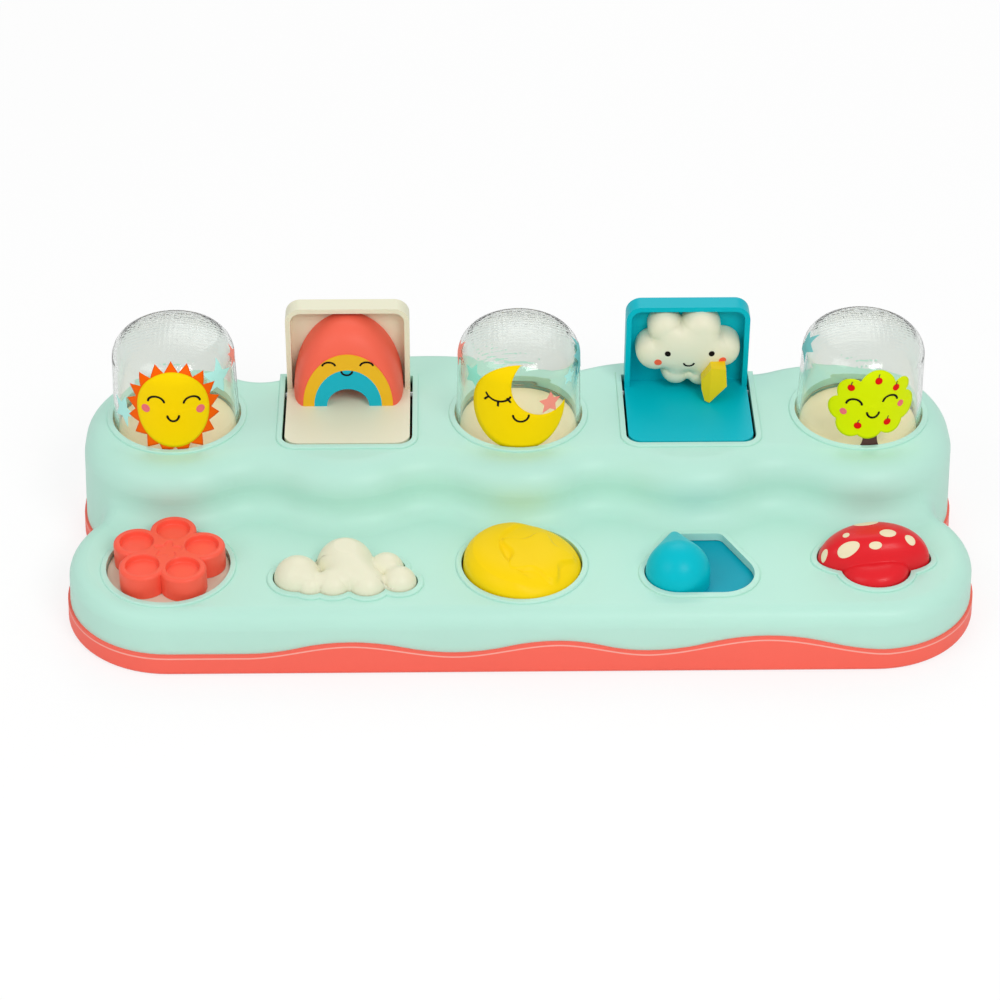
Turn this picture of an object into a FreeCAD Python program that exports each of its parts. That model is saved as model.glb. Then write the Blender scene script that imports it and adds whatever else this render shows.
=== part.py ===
"""Pop up toy: a two-level housing with five doors and domes at the back and five controls in front.

Each sub-part is one function that returns its solid in the toy's own frame: X to the right, Y to
the back, Z up, with the origin under the middle of the toy, in millimetres.
"""
import FreeCAD
import Part
import math
import os
from FreeCAD import Matrix, Vector

# Layout of the toy
pitch = 66.0
back_row_y = 29.3
front_row_y = -39.3
terrace_top = 48.0
deck_top = 26.0

# Housing
shell_wall = 2.4
shell_step = 0.9
draft_degrees = 2.2
terrace_lobe_r = 38.0
terrace_lobe_y = 23.0
terrace_hollow_r = 24.0
terrace_round = 11.0
deck_lobe_r = 40.5
deck_lobe_x = 131.0
deck_lobe_y = -32.0
deck_round = 7.0
waist_r = 8.0
back_mounds = ((121.5, 12.2, 55.0, 25.0), (50.0, 10.2, 60.0, 20.0), (-35.3, -34.4, 110.0, 15.0))
back_round = 4.0
bezel_width = 2.2
bezel_height = 0.8
bezel_round = 0.6

# Tray
tray_floor = 2.0
tray_foot_round = 2.0
lip_wall = 1.2
lip_height = 2.5
lip_gap = 0.5
wave_low = 9.3
wave_marks = ((-102.0, 0.0), (-64.0, 4.9), (-25.0, 0.1), (13.0, 5.0), (46.0, 0.4), (90.0, 6.7), (136.0, 0.0))

# Clearances
gap = 0.3
seam = 0.01
button_gap = 0.5
door_gap = 1.0
pin_gap = 0.05
guide_gap = 0.1

# Screws
screw_head_r = 3.0
screw_shank_r = 1.4
screw_post_r = 3.2
screw_head_height = 1.8
screw_length = 14.0
screw_seat_wall = 1.0
front_screw_y = -63.0
middle_screw_y = 12.0
back_screw_y = 58.0

# Domes
dome_well_r = 24.8
dome_foot_r = 24.4
dome_neck_r = 23.2
dome_top = 88.4
dome_crown_r = 45.0
dome_shoulder_r = 10.5
dome_wall = 1.6
flange_r = 26.4
flange_height = 2.0
platform_plug_r = 22.6
platform_plug_height = 1.7
collar_gap = 0.4
collar_wall = 1.4
collar_foot = 8.0
collar_window_gap = 1.0
coil_wire = 1.6
dome_spring_low_r = 17.0
dome_spring_high_r = 10.0
spring_ring_height = 1.5
spring_ring_bore = 12.0
spring_groove_outer = 15.0
spring_groove_inner = 13.0

# Doors
door_opening_width = 50.0
door_opening_front = 7.4
door_opening_back = 54.8
door_corner_r = 5.6
door_wall = 2.4
door_height = 36.5
door_front = 9.3
door_skirt = 5.1
door_skirt_wall = 2.0
door_shoulder_r = 6.0
hinge_inset = 5.0
hinge_coil_half = 9.0
hinge_pin_r = 1.5
boss_gap = 0.2
boss_length = 3.3
boss_r = 3.4
sleeve_wall = 0.6
sleeve_gap = 0.2

# Rainbow figure, with widths and heights of the half ellipses from the door to the front
arch_steps = ((0.0, 21.3, 32.3), (5.1, 21.3, 33.2), (11.1, 20.8, 32.2), (15.1, 19.5, 28.7), (17.1, 17.8, 24.2))
yellow_outer = (17.4, 23.6)
teal_outer = (13.1, 16.5)
arch_door = (8.2, 7.9)
band_depth = 5.0
band_recess = 0.3

# Cloud figure: sideways and upwards from the middle of the door's foot, and radius
cloud_lobes = ((-9.0, 27.4, 6.7), (4.8, 26.7, 8.0), (13.3, 18.0, 7.3), (-12.5, 17.2, 7.7),
               (-4.2, 8.5, 6.0), (5.3, 7.8, 6.0), (-3.0, 19.5, 10.5), (5.5, 18.5, 10.0))
cloud_lobe_back = 2.2
bolt_outline = ((8.6, 16.3), (14.3, 15.9), (14.9, 8.2), (8.4, 0.6), (6.6, 1.0), (5.3, 5.8), (5.1, 9.8))
bolt_front = 34.6
bolt_back = 41.0
bolt_lean = (10.0, 5.0)

# Flower dial
dial_well_r = 23.2
dial_disc_r = 22.7
dial_disc_drop = 1.5
dial_flange_r = 25.0
petal_r = 9.1
petal_reach = 12.5
petal_height = 9.5
petal_round = 2.6
petal_turn = 11.0
petal_recess_r = 6.3
petal_recess = 2.4
petal_heart_r = 10.5
petal_heart_round = 1.0
dial_stem_r = 3.5
crank_r = 10.0
crank_height = 2.5
crank_pin_r = 1.5
crank_arm = 7.0
dial_socket_r = 6.0
dial_socket_top = 6.0
dial_coil = 1.4

# Cloud button: sideways, forwards and radius of each lobe
button_lobes = ((-17.5, -8.2, 8.8), (-12.5, -13.2, 5.5), (-4.2, -12.8, 6.6), (8.3, -13.0, 6.9),
                (20.3, -11.2, 6.4), (15.4, -3.0, 6.6), (0.0, -0.7, 10.8), (3.0, -8.0, 9.0))
button_wall = 2.0
button_flange = 2.0
button_post_x = -4.0
button_post_r = 2.5
button_hub_wall = 2.0
button_hub_low = 13.0
button_post_top = 16.0
button_leg_x = 13.0
button_leg_rise = 5.0
button_leg_foot = 2.5
button_leg_depth = 5.7

# Rockers
rocker_well_r = 22.7
rocker_cap_r = 22.2
rocker_axis_drop = 3.0
moon_rise = 5.0
moon_rest_degrees = 7.0
mushroom_rest_degrees = 6.0
rocker_pin_r = 1.5
rocker_hub_r = 4.0
rocker_post_reach = 10.0
rocker_post_half_width = 3.0
rocker_post_half_depth = 1.75
rocker_web = 2.4
rocker_skirt = 3.0
rocker_wall = 2.0
rocker_spring_out = 9.0
rocker_spring_back = 6.0
rocker_spring_top = 15.0
rocker_spring_r = 2.6
rocker_spring_bore = 1.6
star_r = 13.5
star_waist_r = 8.6
crescent_r = 19.0
crescent_rise = 1.8
crescent_bite = (8.5, 3.0)
star_place = (4.5, 1.5)
star_rise = 0.7
star_turn = 78.0
star_tip_round = 2.5
moon_rim = 0.5
mushroom_half_width = 21.0
mushroom_back_depth = 16.0
mushroom_front_depth = 9.0
mushroom_middle_y = -38.5
mushroom_height = 12.0
stem_half_width = 12.5
stem_depth = 11.0
stem_middle_y = -45.0
stem_height = 7.0

# Raindrop slide
drop_r = 12.1
drop_tip_r = 2.5
drop_middle_y = -46.0
drop_tip_y = -24.8
drop_rise = 1.0
drop_rest_x = -8.0
drop_travel = 16.0
plate_left = -41.0
plate_right = 21.8
plate_front = -59.4
plate_back = -19.0
rail_wall = 2.0
rail_lip = 2.0
slide_pin_x = -39.0
slide_pin_y = -23.0

# Latches
latch_z = 9.7
latch_height = 3.0
latch_half_width = 4.0
guide_front = -18.0
guide_back = -2.0
guide_cheek = 2.0
bar_front = -23.5
cross_depth = 4.0
window_half = 4.0
window_rim = 2.0
window_front = -38.5
window_back = -29.2
window_end = 4.0
fork_gap = 0.25
fork_root = 12.5
fork_tip = 4.5
fork_prong = 3.0
lane_out = 13.0
leg_width = 4.0
leg_slope = 8.0
leg_foot = 2.0
leg_front = 3.7
lever_post_r = 2.5
lever_hub_r = 5.0
lever_arm_width = 5.0
lever_post_rise = 5.0
lever_coil = 1.2
nose_width = 4.0
nose_gap = 0.5
shoe_width = 6.0
shoe_front = 7.0
shoe_back = 3.5
cloud_prong = 2.5
cloud_prong_front = 3.0
cloud_prong_back = 5.0
latch_spring_length = 5.0
latch_spring_z = 5.5
latch_spring_r = 2.2
latch_spring_bore = 1.4
rainbow_pivot = (-38.0, -2.0)
cloud_pivot = (35.0, 22.0)
nose_y = 41.0

# Worked out from the sizes above
deck_under = deck_top - shell_wall
terrace_under = terrace_top - shell_wall
flange_top = terrace_under - gap
flange_low = flange_top - flange_height
platform_low = flange_low - flange_height
collar_in_r = flange_r + collar_gap
collar_out_r = collar_in_r + collar_wall
hinge_y = door_opening_back - gap - hinge_inset
hinge_z = terrace_top - hinge_inset
door_back = door_opening_back - gap
door_top = terrace_top + door_height
door_half = door_opening_width / 2 - door_gap
panel_front = door_back - door_wall
latch_top = latch_z + latch_height
floor_root = tray_floor / 4
guide_top = latch_z - gap
flange_z = deck_under - gap
rocker_z = deck_top - rocker_axis_drop
nose_tip_y = back_row_y - flange_r - gap
upward = Vector(0, 0, 1)
document = FreeCAD.newDocument("toy")


def station(number):
    """X of the numbered place, 1 at the left and 5 at the right."""
    return (number - 3) * pitch


def box(x0, x1, y0, y1, z0, z1):
    return Part.makeBox(x1 - x0, y1 - y0, z1 - z0, Vector(x0, y0, z0))


def post(x, y, z0, z1, r):
    return Part.makeCylinder(r, z1 - z0, Vector(x, y, z0))


def tube(x, y, z0, z1, r_out, r_in):
    return post(x, y, z0, z1, r_out).cut(post(x, y, z0, z1, r_in))


def rod(start, end, r):
    along = end - start
    return Part.makeCylinder(r, along.Length, start, along)


def ball(x, y, z, r):
    return Part.makeSphere(r, Vector(x, y, z))


def join(solids):
    """One shape from many, with the seams between flush faces taken out."""
    return solids[0].fuse(list(solids[1:])).removeSplitter()


def prism(points, rise):
    """A closed outline of corner points pushed along a direction."""
    wire = Part.makePolygon(list(points) + [points[0]])
    return Part.Face(wire).extrude(rise)


def edges_where(shape, test):
    """Edges whose ends and middle all pass a test."""
    found = []
    for edge in shape.Edges:
        middle = edge.valueAt((edge.FirstParameter + edge.LastParameter) / 2)
        if all(test(p) for p in [v.Point for v in edge.Vertexes] + [middle]):
            found.append(edge)
    return found


def rounded(shape, radius, test):
    return shape.makeFillet(radius, edges_where(shape, test))


def at_height(z):
    return lambda p: abs(p.z - z) < 1e-4


def outline(lobes, inset, z):
    """Round an outline of circles, each joined to the next by a hollow arc or a straight tangent.

    A lobe is (x, y, radius, hollow radius to the next lobe, or 0 for a straight tangent).
    """
    count = len(lobes)
    starts = [None] * count
    ends = [None] * count
    hollows = [None] * count
    for i, (ax, ay, ar, hollow) in enumerate(lobes):
        nxt = (i + 1) % count
        bx, by, br = lobes[nxt][:3]
        ar = ar - inset
        br = br - inset
        a = Vector(ax, ay, z)
        b = Vector(bx, by, z)
        span = (b - a).Length
        ahead = (b - a) * (1 / span)
        right = Vector(ahead.y, -ahead.x, 0)
        if hollow > 0:
            k = hollow + inset
            along = ((ar + k) ** 2 - (br + k) ** 2 + span ** 2) / (2 * span)
            c = a + ahead * along + right * math.sqrt((ar + k) ** 2 - along ** 2)
            ends[i] = a + (c - a) * (ar / (ar + k))
            starts[nxt] = b + (c - b) * (br / (br + k))
            hollows[i] = (c, k)
        else:
            lean = (ar - br) / span
            normal = ahead * lean + right * math.sqrt(1 - lean ** 2)
            ends[i] = a + normal * ar
            starts[nxt] = b + normal * br
    edges = []
    for i, (cx, cy, r, hollow) in enumerate(lobes):
        nxt = (i + 1) % count
        r = r - inset
        first = math.atan2(starts[i].y - cy, starts[i].x - cx)
        last = math.atan2(ends[i].y - cy, ends[i].x - cx)
        if last < first:
            last += 2 * math.pi
        turn = (first + last) / 2
        middle = Vector(cx + r * math.cos(turn), cy + r * math.sin(turn), z)
        edges.append(Part.Arc(starts[i], middle, ends[i]).toShape())
        if hollow > 0:
            c, k = hollows[i]
            inward = (ends[i] + starts[nxt]) * 0.5 - c
            middle = c + inward * (k / inward.Length)
            edges.append(Part.Arc(ends[i], middle, starts[nxt]).toShape())
        else:
            edges.append(Part.LineSegment(ends[i], starts[nxt]).toShape())
    return Part.Wire(edges)


def slab(lobes, inset, z0, z1):
    """The outline raised straight up."""
    return Part.Face(outline(lobes, inset, z0)).extrude(Vector(0, 0, z1 - z0))


def drafted(lobes, inset, z0, z1):
    """The outline raised with the mould's draft."""
    lean = math.tan(math.radians(draft_degrees))
    wires = [outline(lobes, inset + z * lean, z) for z in (z0, z1)]
    return Part.makeLoft(wires, True, True)


def rounded_rim(solid, z, front_r, back_r):
    """Round a top edge with a large radius in front that runs down to a small one behind."""
    turn_y = back_row_y + terrace_lobe_r / 2
    rows = []
    for number, edge in enumerate(solid.Edges, 1):
        ends = [edge.valueAt(edge.FirstParameter), edge.valueAt(edge.LastParameter)]
        if all(at_height(z)(p) for p in ends):
            radii = [back_r if p.y > turn_y else front_r for p in ends]
            rows.append((number, radii[0], radii[1]))
    base = document.addObject("Part::Feature", "Base")
    base.Shape = solid
    fillet = document.addObject("Part::Fillet", "Rim")
    fillet.Base = base
    fillet.Edges = rows
    document.recompute()
    return fillet.Shape


def revolved(profile, x, y):
    """A closed profile of (radius, height) corners turned round an upright line."""
    points = [Vector(r, 0, z) for r, z in profile]
    face = Part.Face(Part.makePolygon(points + [points[0]]))
    solid = face.revolve(Vector(0, 0, 0), upward, 360)
    solid.translate(Vector(x, y, 0))
    return solid


def back_lobes():
    ends = [(station(n), back_row_y, terrace_lobe_r, 0) for n in (5, 1)]
    return [ends[0]] + list(back_mounds) + [ends[1]]


def middle_y():
    """Half way between the front and the back of the outline, where the origin goes."""
    front = deck_lobe_y - deck_lobe_r
    back = max(y + r for x, y, r, hollow in back_lobes())
    return (front + back) / 2


def terrace_lobes():
    front = [(station(n), terrace_lobe_y, terrace_lobe_r, terrace_hollow_r) for n in (1, 2, 3, 4)]
    return front + [(station(5), terrace_lobe_y, terrace_lobe_r, 0)] + back_lobes()


def deck_lobes():
    return [(-deck_lobe_x, deck_lobe_y, deck_lobe_r, 0), (deck_lobe_x, deck_lobe_y, deck_lobe_r, 0)]


def foot_lobes():
    """The whole outline at the table: deck in front, waist, terrace behind."""
    right = [(deck_lobe_x, deck_lobe_y, deck_lobe_r, waist_r), (station(5), terrace_lobe_y, terrace_lobe_r, 0)]
    left = [(station(1), terrace_lobe_y, terrace_lobe_r, waist_r)]
    return [(-deck_lobe_x, deck_lobe_y, deck_lobe_r, 0)] + right + back_lobes() + left


def under_wave(rise):
    """Everything below the wavy seam line, raised by an amount."""
    reach = deck_lobe_x + deck_lobe_r + 10
    depth = 90.0
    marks = [(x, wave_low + dz + rise) for x, dz in wave_marks]
    edges = []
    last = Vector(-reach, -depth, marks[0][1])
    bottom = Vector(-reach, -depth, -5)
    edges.append(Part.LineSegment(bottom, last).toShape())
    for i, (x, z) in enumerate(marks):
        here = Vector(x, -depth, z)
        if i == 0:
            edges.append(Part.LineSegment(last, here).toShape())
        else:
            edges += s_curve(last, here)
        last = here
    corner = Vector(reach, -depth, last.z)
    edges.append(Part.LineSegment(last, corner).toShape())
    foot = Vector(reach, -depth, -5)
    edges.append(Part.LineSegment(corner, foot).toShape())
    edges.append(Part.LineSegment(foot, bottom).toShape())
    return Part.Face(Part.Wire(edges)).extrude(Vector(0, 2 * depth, 0))


def s_curve(a, b):
    """Two equal arcs from one level mark to the next, level at both ends."""
    half_x = (b.x - a.x) / 2
    half_z = (b.z - a.z) / 2
    radius = (half_x ** 2 + half_z ** 2) / (2 * abs(half_z))
    swing = math.asin(half_x / radius) / 2
    side = math.copysign(1, half_z)
    out = radius * math.sin(swing)
    up = side * radius * (1 - math.cos(swing))
    middle = Vector(a.x + half_x, a.y, a.z + half_z)
    first = Part.Arc(a, Vector(a.x + out, a.y, a.z + up), middle).toShape()
    second = Part.Arc(middle, Vector(b.x - out, b.y, b.z - up), b).toShape()
    return [first, second]


def housing_form(inset, drop, crease):
    """Terrace and deck in one, with a soft crease where they meet."""
    top = terrace_top - drop
    terrace = rounded_rim(drafted(terrace_lobes(), inset, 0, top), top, terrace_round - drop, back_round - drop)
    deck = drafted(deck_lobes(), inset, 0, deck_top - drop)
    deck = rounded(deck, deck_round - drop, at_height(deck_top - drop))
    form = terrace.fuse(deck).removeSplitter()
    lines = []
    for edge in form.Edges:
        middle = edge.valueAt((edge.FirstParameter + edge.LastParameter) / 2)
        spot = Part.Vertex(middle)
        on_both = terrace.distToShape(spot)[0] < 1e-3 and deck.distToShape(spot)[0] < 1e-3
        if on_both and middle.z > 1e-3:
            lines.append(edge)
    return form.makeFillet(crease, lines).Solids[0]


def rounded_post(x, y, z0, z1, r, top_round):
    solid = post(x, y, z0, z1, r)
    if top_round > 0:
        solid = solid.makeFillet(top_round, edges_where(solid, at_height(z1)))
    return solid


def button_plan(z0, z1, grow, top_round=0):
    """The cloud button's plan as joined upright cylinders."""
    x = station(2)
    return join([rounded_post(x + dx, front_row_y + dy, z0, z1, r + grow, top_round)
                 for dx, dy, r in button_lobes])


def half_ellipse(x, y, half_width, depth, z):
    """Half an ellipse as an edge; a negative depth bows to the front."""
    if abs(depth) > half_width:
        curve = Part.Ellipse(Vector(x, y + depth, z), Vector(x + half_width, y, z), Vector(x, y, z))
    else:
        curve = Part.Ellipse(Vector(x + half_width, y, z), Vector(x, y + depth, z), Vector(x, y, z))
    a = Vector(x + half_width, y, z)
    b = Vector(x, y + depth, z)
    c = Vector(x - half_width, y, z)
    first = curve.parameter(a)
    second = curve.parameter(b)
    third = curve.parameter(c)
    if (second - first) % (2 * math.pi) < math.pi:
        return Part.ArcOfEllipse(curve, first, third).toShape()
    return Part.ArcOfEllipse(curve, third, first).toShape()


def mushroom_plan(z0, z1, grow):
    x = station(5)
    cap = Part.Wire([half_ellipse(x, mushroom_middle_y, mushroom_half_width + grow, mushroom_back_depth + grow, z0),
                     half_ellipse(x, mushroom_middle_y, mushroom_half_width + grow, -mushroom_front_depth - grow, z0)])
    stem = Part.Wire([half_ellipse(x, stem_middle_y, stem_half_width + grow, stem_depth + grow, z0),
                      half_ellipse(x, stem_middle_y, stem_half_width + grow, -stem_depth - grow, z0)])
    rise = Vector(0, 0, z1 - z0)
    return join([Part.Face(cap).extrude(rise), Part.Face(stem).extrude(rise)])


def drop_lobes(shift, grow):
    """Plan of the raindrop at its rest place moved by a shift."""
    x = station(4) + drop_rest_x + shift
    return [(x, drop_middle_y, drop_r + grow, 0), (x, drop_tip_y, drop_tip_r + grow, 0)]


def slot_lobes(grow):
    """Outline swept by the raindrop over its whole travel."""
    left = drop_lobes(0, grow)
    right = drop_lobes(drop_travel, grow)
    return [left[0], right[0], right[1], left[1]]


def door_plan(number, z0, z1, grow):
    x = station(number)
    half = door_opening_width / 2 + grow
    solid = box(x - half, x + half, door_opening_front - grow, door_opening_back + grow, z0, z1)
    corners = [e for e in solid.Edges if abs(e.Vertexes[0].Z - e.Vertexes[-1].Z) > 1
               and e.Vertexes[0].Y < door_opening_front + 1]
    return solid.makeFillet(door_corner_r + grow, corners)


def openings(z0, z1, grow, level):
    """Cutters or bezels of one level: the terrace or the deck."""
    if level == "terrace":
        found = [post(station(n), back_row_y, z0, z1, dome_well_r + grow) for n in (1, 3, 5)]
        found += [door_plan(n, z0, z1, grow) for n in (2, 4)]
        return found
    found = [post(station(1), front_row_y, z0, z1, dial_well_r + grow)]
    found.append(button_plan(z0, z1, button_gap + grow))
    found.append(post(station(3), front_row_y, z0, z1, rocker_well_r + grow))
    found.append(slab(slot_lobes(button_gap + grow), 0, z0, z1))
    found.append(mushroom_plan(z0, z1, button_gap + grow))
    return found


def guide_collar(number):
    """Tube under the terrace that guides a dome, with a window for its latch."""
    x = station(number)
    collar = tube(x, back_row_y, collar_foot, terrace_under + gap, collar_out_r, collar_in_r)
    half = latch_half_width + collar_window_gap
    window = box(x - half, x + half, back_row_y - collar_out_r - 1, back_row_y - collar_in_r + 2, collar_foot - 1,
                 latch_top + gap + collar_window_gap)
    return collar.cut(window)


def hinge_bosses(number):
    """Two lugs under the terrace that hold the ends of a door's pin."""
    x = station(number)
    inner = door_half + boss_gap + 1
    lugs = []
    for side in (-1, 1):
        a = x + side * inner
        b = x + side * (inner + boss_length)
        low = min(a, b)
        high = max(a, b)
        eye = rod(Vector(low, hinge_y, hinge_z), Vector(high, hinge_y, hinge_z), boss_r)
        neck = box(low, high, hinge_y - boss_r, hinge_y + boss_r, hinge_z, terrace_under + gap)
        lugs += [eye, neck]
    return lugs


def pin_length_half():
    return door_half + boss_gap + 1 + boss_length


def screw_places():
    places = [(side * pitch * 1.5, front_screw_y) for side in (-1, 1)]
    places += [(side * pitch * 0.5, front_screw_y) for side in (-1, 1)]
    places += [(side * pitch * 1.5, middle_screw_y) for side in (-1, 1)]
    places += [(side * pitch * 0.5, back_screw_y) for side in (-1, 1)]
    return places


def screw_seat_z():
    return tray_floor + screw_head_height


def slide_rails():
    """Two grooved rails under the deck that carry the raindrop's plate."""
    left = station(4) + plate_left
    right = station(4) + plate_right + drop_travel
    low = flange_z - flange_height - gap - rail_lip
    rails = []
    for edge, side in ((plate_front, -1), (plate_back, 1)):
        inner = edge + side * gap
        outer = inner + side * rail_wall
        lip = edge - side * rail_lip
        rails.append(box(left, right, min(inner, outer), max(inner, outer), low, deck_under + gap))
        rails.append(box(left, right, min(lip, outer), max(lip, outer), low, low + rail_lip))
    return rails


def upper_housing():
    outer = housing_form(shell_step, 0, waist_r + shell_step)
    cavity = housing_form(shell_step + shell_wall, shell_wall, waist_r + shell_step + shell_wall)
    shell = outer.cut(cavity)
    bezels = []
    for level, top in (("terrace", terrace_top), ("deck", deck_top)):
        for ring in openings(top - 1, top + bezel_height, bezel_width, level):
            bezels.append(ring.makeFillet(bezel_round, edges_where(ring, at_height(top + bezel_height))))
    shell = shell.fuse(bezels)
    inner = []
    for x, y in screw_places():
        top = terrace_under + gap if y > 0 else deck_under + gap
        inner.append(post(x, y, screw_seat_z() + screw_seat_wall, top, screw_post_r))
    for n in (1, 3, 5):
        inner.append(guide_collar(n))
    for n in (2, 4):
        inner += hinge_bosses(n)
    inner += slide_rails()
    shell = shell.fuse(inner)
    cutters = openings(terrace_under - seam, terrace_top + 5, 0, "terrace")
    cutters += [door_plan(n, hinge_z - hinge_inset - gap, terrace_top, 0) for n in (2, 4)]
    cutters += openings(deck_under - seam, deck_top + 5, 0, "deck")
    for x, y in screw_places():
        cutters.append(post(x, y, 0, screw_seat_z() + screw_length, screw_shank_r))
    for n in (2, 4):
        reach = pin_length_half()
        axis = Vector(reach, 0, 0)
        middle = Vector(station(n), hinge_y, hinge_z)
        cutters.append(rod(middle - axis, middle + axis, hinge_pin_r))
    shell = shell.cut(cutters)
    inside = drafted(foot_lobes(), shell_step + shell_wall + lip_gap + lip_wall, -10, terrace_top)
    shell = shell.cut(under_wave(0).cut(inside))
    return shell.removeSplitter()


def rib_guide(x):
    """Floor rib with side cheeks that a latch bar slides along."""
    half = latch_half_width + gap
    rib = box(x - half - guide_cheek, x + half + guide_cheek, guide_front, guide_back, floor_root, latch_top)
    lane = box(x - half, x + half, guide_front - 1, guide_back + 1, guide_top, latch_top + 1)
    return rib.cut(lane)


def pivot_post(place):
    x, y = place
    foot = post(x, y, floor_root, guide_top, lever_hub_r)
    return join([foot, post(x, y, floor_root, latch_top + lever_post_rise, lever_post_r)])


def rocker_posts(x, z):
    """Two uprights of a rocker, bored for its pin."""
    uprights = []
    for side in (-1, 1):
        y = front_row_y + side * rocker_post_reach
        uprights.append(box(x - rocker_post_half_width, x + rocker_post_half_width, y - rocker_post_half_depth,
                            y + rocker_post_half_depth, floor_root, z + rocker_pin_r + 1))
    return uprights


def rocker_pin(x, z):
    reach = rocker_post_reach + rocker_post_half_depth
    return rod(Vector(x, front_row_y - reach, z), Vector(x, front_row_y + reach, z), rocker_pin_r)


def base_tray():
    form = drafted(foot_lobes(), 0, 0, terrace_top)
    form = form.makeFillet(tray_foot_round, edges_where(form, at_height(0)))
    lip_inset = shell_step + shell_wall + lip_gap
    rim = form.common(under_wave(0))
    lip = drafted(foot_lobes(), lip_inset, tray_floor / 2, terrace_top).common(under_wave(lip_height))
    cavity = drafted(foot_lobes(), lip_inset + lip_wall, tray_floor, terrace_top + 1)
    tray = rim.fuse(lip).cut(cavity)
    inner = []
    for n in (1, 3, 5):
        x = station(n)
        inner.append(rib_guide(x))
        inner.append(tube(x, back_row_y, floor_root, tray_floor + spring_ring_height,
                          dome_spring_low_r - coil_wire - gap, spring_ring_bore))
    for x, y in screw_places():
        inner.append(post(x, y, floor_root, screw_seat_z() + screw_seat_wall, screw_post_r + 2))
    dial_x = station(1)
    inner.append(tube(dial_x, front_row_y, floor_root, dial_socket_top, dial_socket_r, dial_stem_r + pin_gap))
    inner.append(post(station(2) + button_post_x, front_row_y, floor_root, button_post_top, button_post_r))
    for n in (3, 5):
        inner += rocker_posts(station(n), rocker_z)
    inner.append(pivot_post(rainbow_pivot))
    inner.append(pivot_post(cloud_pivot))
    tray = tray.fuse(inner)
    cutters = []
    for x, y in screw_places():
        cutters.append(post(x, y, -1, screw_seat_z(), screw_head_r + gap))
        cutters.append(post(x, y, -1, screw_seat_z() + 2, screw_shank_r + gap))
    cutters += [rocker_pin(station(n), rocker_z) for n in (3, 5)]
    return tray.cut(cutters).removeSplitter()


def housing_screws():
    screws = []
    for x, y in screw_places():
        top = screw_seat_z()
        head = post(x, y, top - screw_head_height, top, screw_head_r)
        shank = post(x, y, top, top + screw_length, screw_shank_r)
        screws.append(join([head, shank]))
    return Part.makeCompound(screws)


def dome_skin(drop, shoulder):
    """Solid of revolution inside the dome's outer or inner skin."""
    foot = dome_foot_r - drop
    neck = dome_neck_r - drop
    top = dome_top - drop
    centre = top - dome_crown_r
    edge = centre + math.sqrt(dome_crown_r ** 2 - neck ** 2)
    a = Vector(0, 0, platform_low)
    b = Vector(foot, 0, platform_low)
    c = Vector(neck, 0, edge)
    d = Vector(0, 0, top)
    swing = math.asin(neck / dome_crown_r) / 2
    middle = Vector(dome_crown_r * math.sin(swing), 0, centre + dome_crown_r * math.cos(swing))
    wire = Part.Wire([Part.LineSegment(a, b).toShape(), Part.LineSegment(b, c).toShape(),
                      Part.Arc(c, middle, d).toShape(), Part.LineSegment(d, a).toShape()])
    solid = Part.Face(wire).revolve(Vector(0, 0, 0), upward, 360)
    return solid.makeFillet(shoulder, edges_where(solid, at_height(edge)))


def clear_dome(number):
    x = station(number)
    skin = dome_skin(0, dome_shoulder_r)
    skin = skin.cut(box(-40, 40, -40, 40, 0, flange_low))
    skin = skin.fuse(post(0, 0, flange_low, flange_top, flange_r))
    hollow = dome_skin(dome_wall, dome_shoulder_r - dome_wall)
    dome = skin.cut(hollow).removeSplitter()
    dome.translate(Vector(x, back_row_y, 0))
    return dome


def dome_platform(number):
    plug = platform_plug_r
    profile = [(0, platform_low), (flange_r, platform_low), (flange_r, flange_low), (plug, flange_low),
               (plug, flange_low + platform_plug_height), (0, flange_low + platform_plug_height)]
    solid = revolved(profile, station(number), back_row_y)
    seat = tube(station(number), back_row_y, platform_low - 1, platform_low + seam,
                spring_groove_outer, spring_groove_inner)
    return solid.cut(seat)


def dome_spring(number):
    """Outer shape of the conical coil between the tray and the platform."""
    low = tray_floor
    high = platform_low
    wire = coil_wire
    profile = [(dome_spring_low_r - wire / 2, low), (dome_spring_low_r + wire / 2, low),
               (dome_spring_high_r + wire / 2, high), (dome_spring_high_r - wire / 2, high)]
    return revolved(profile, station(number), back_row_y)


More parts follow.
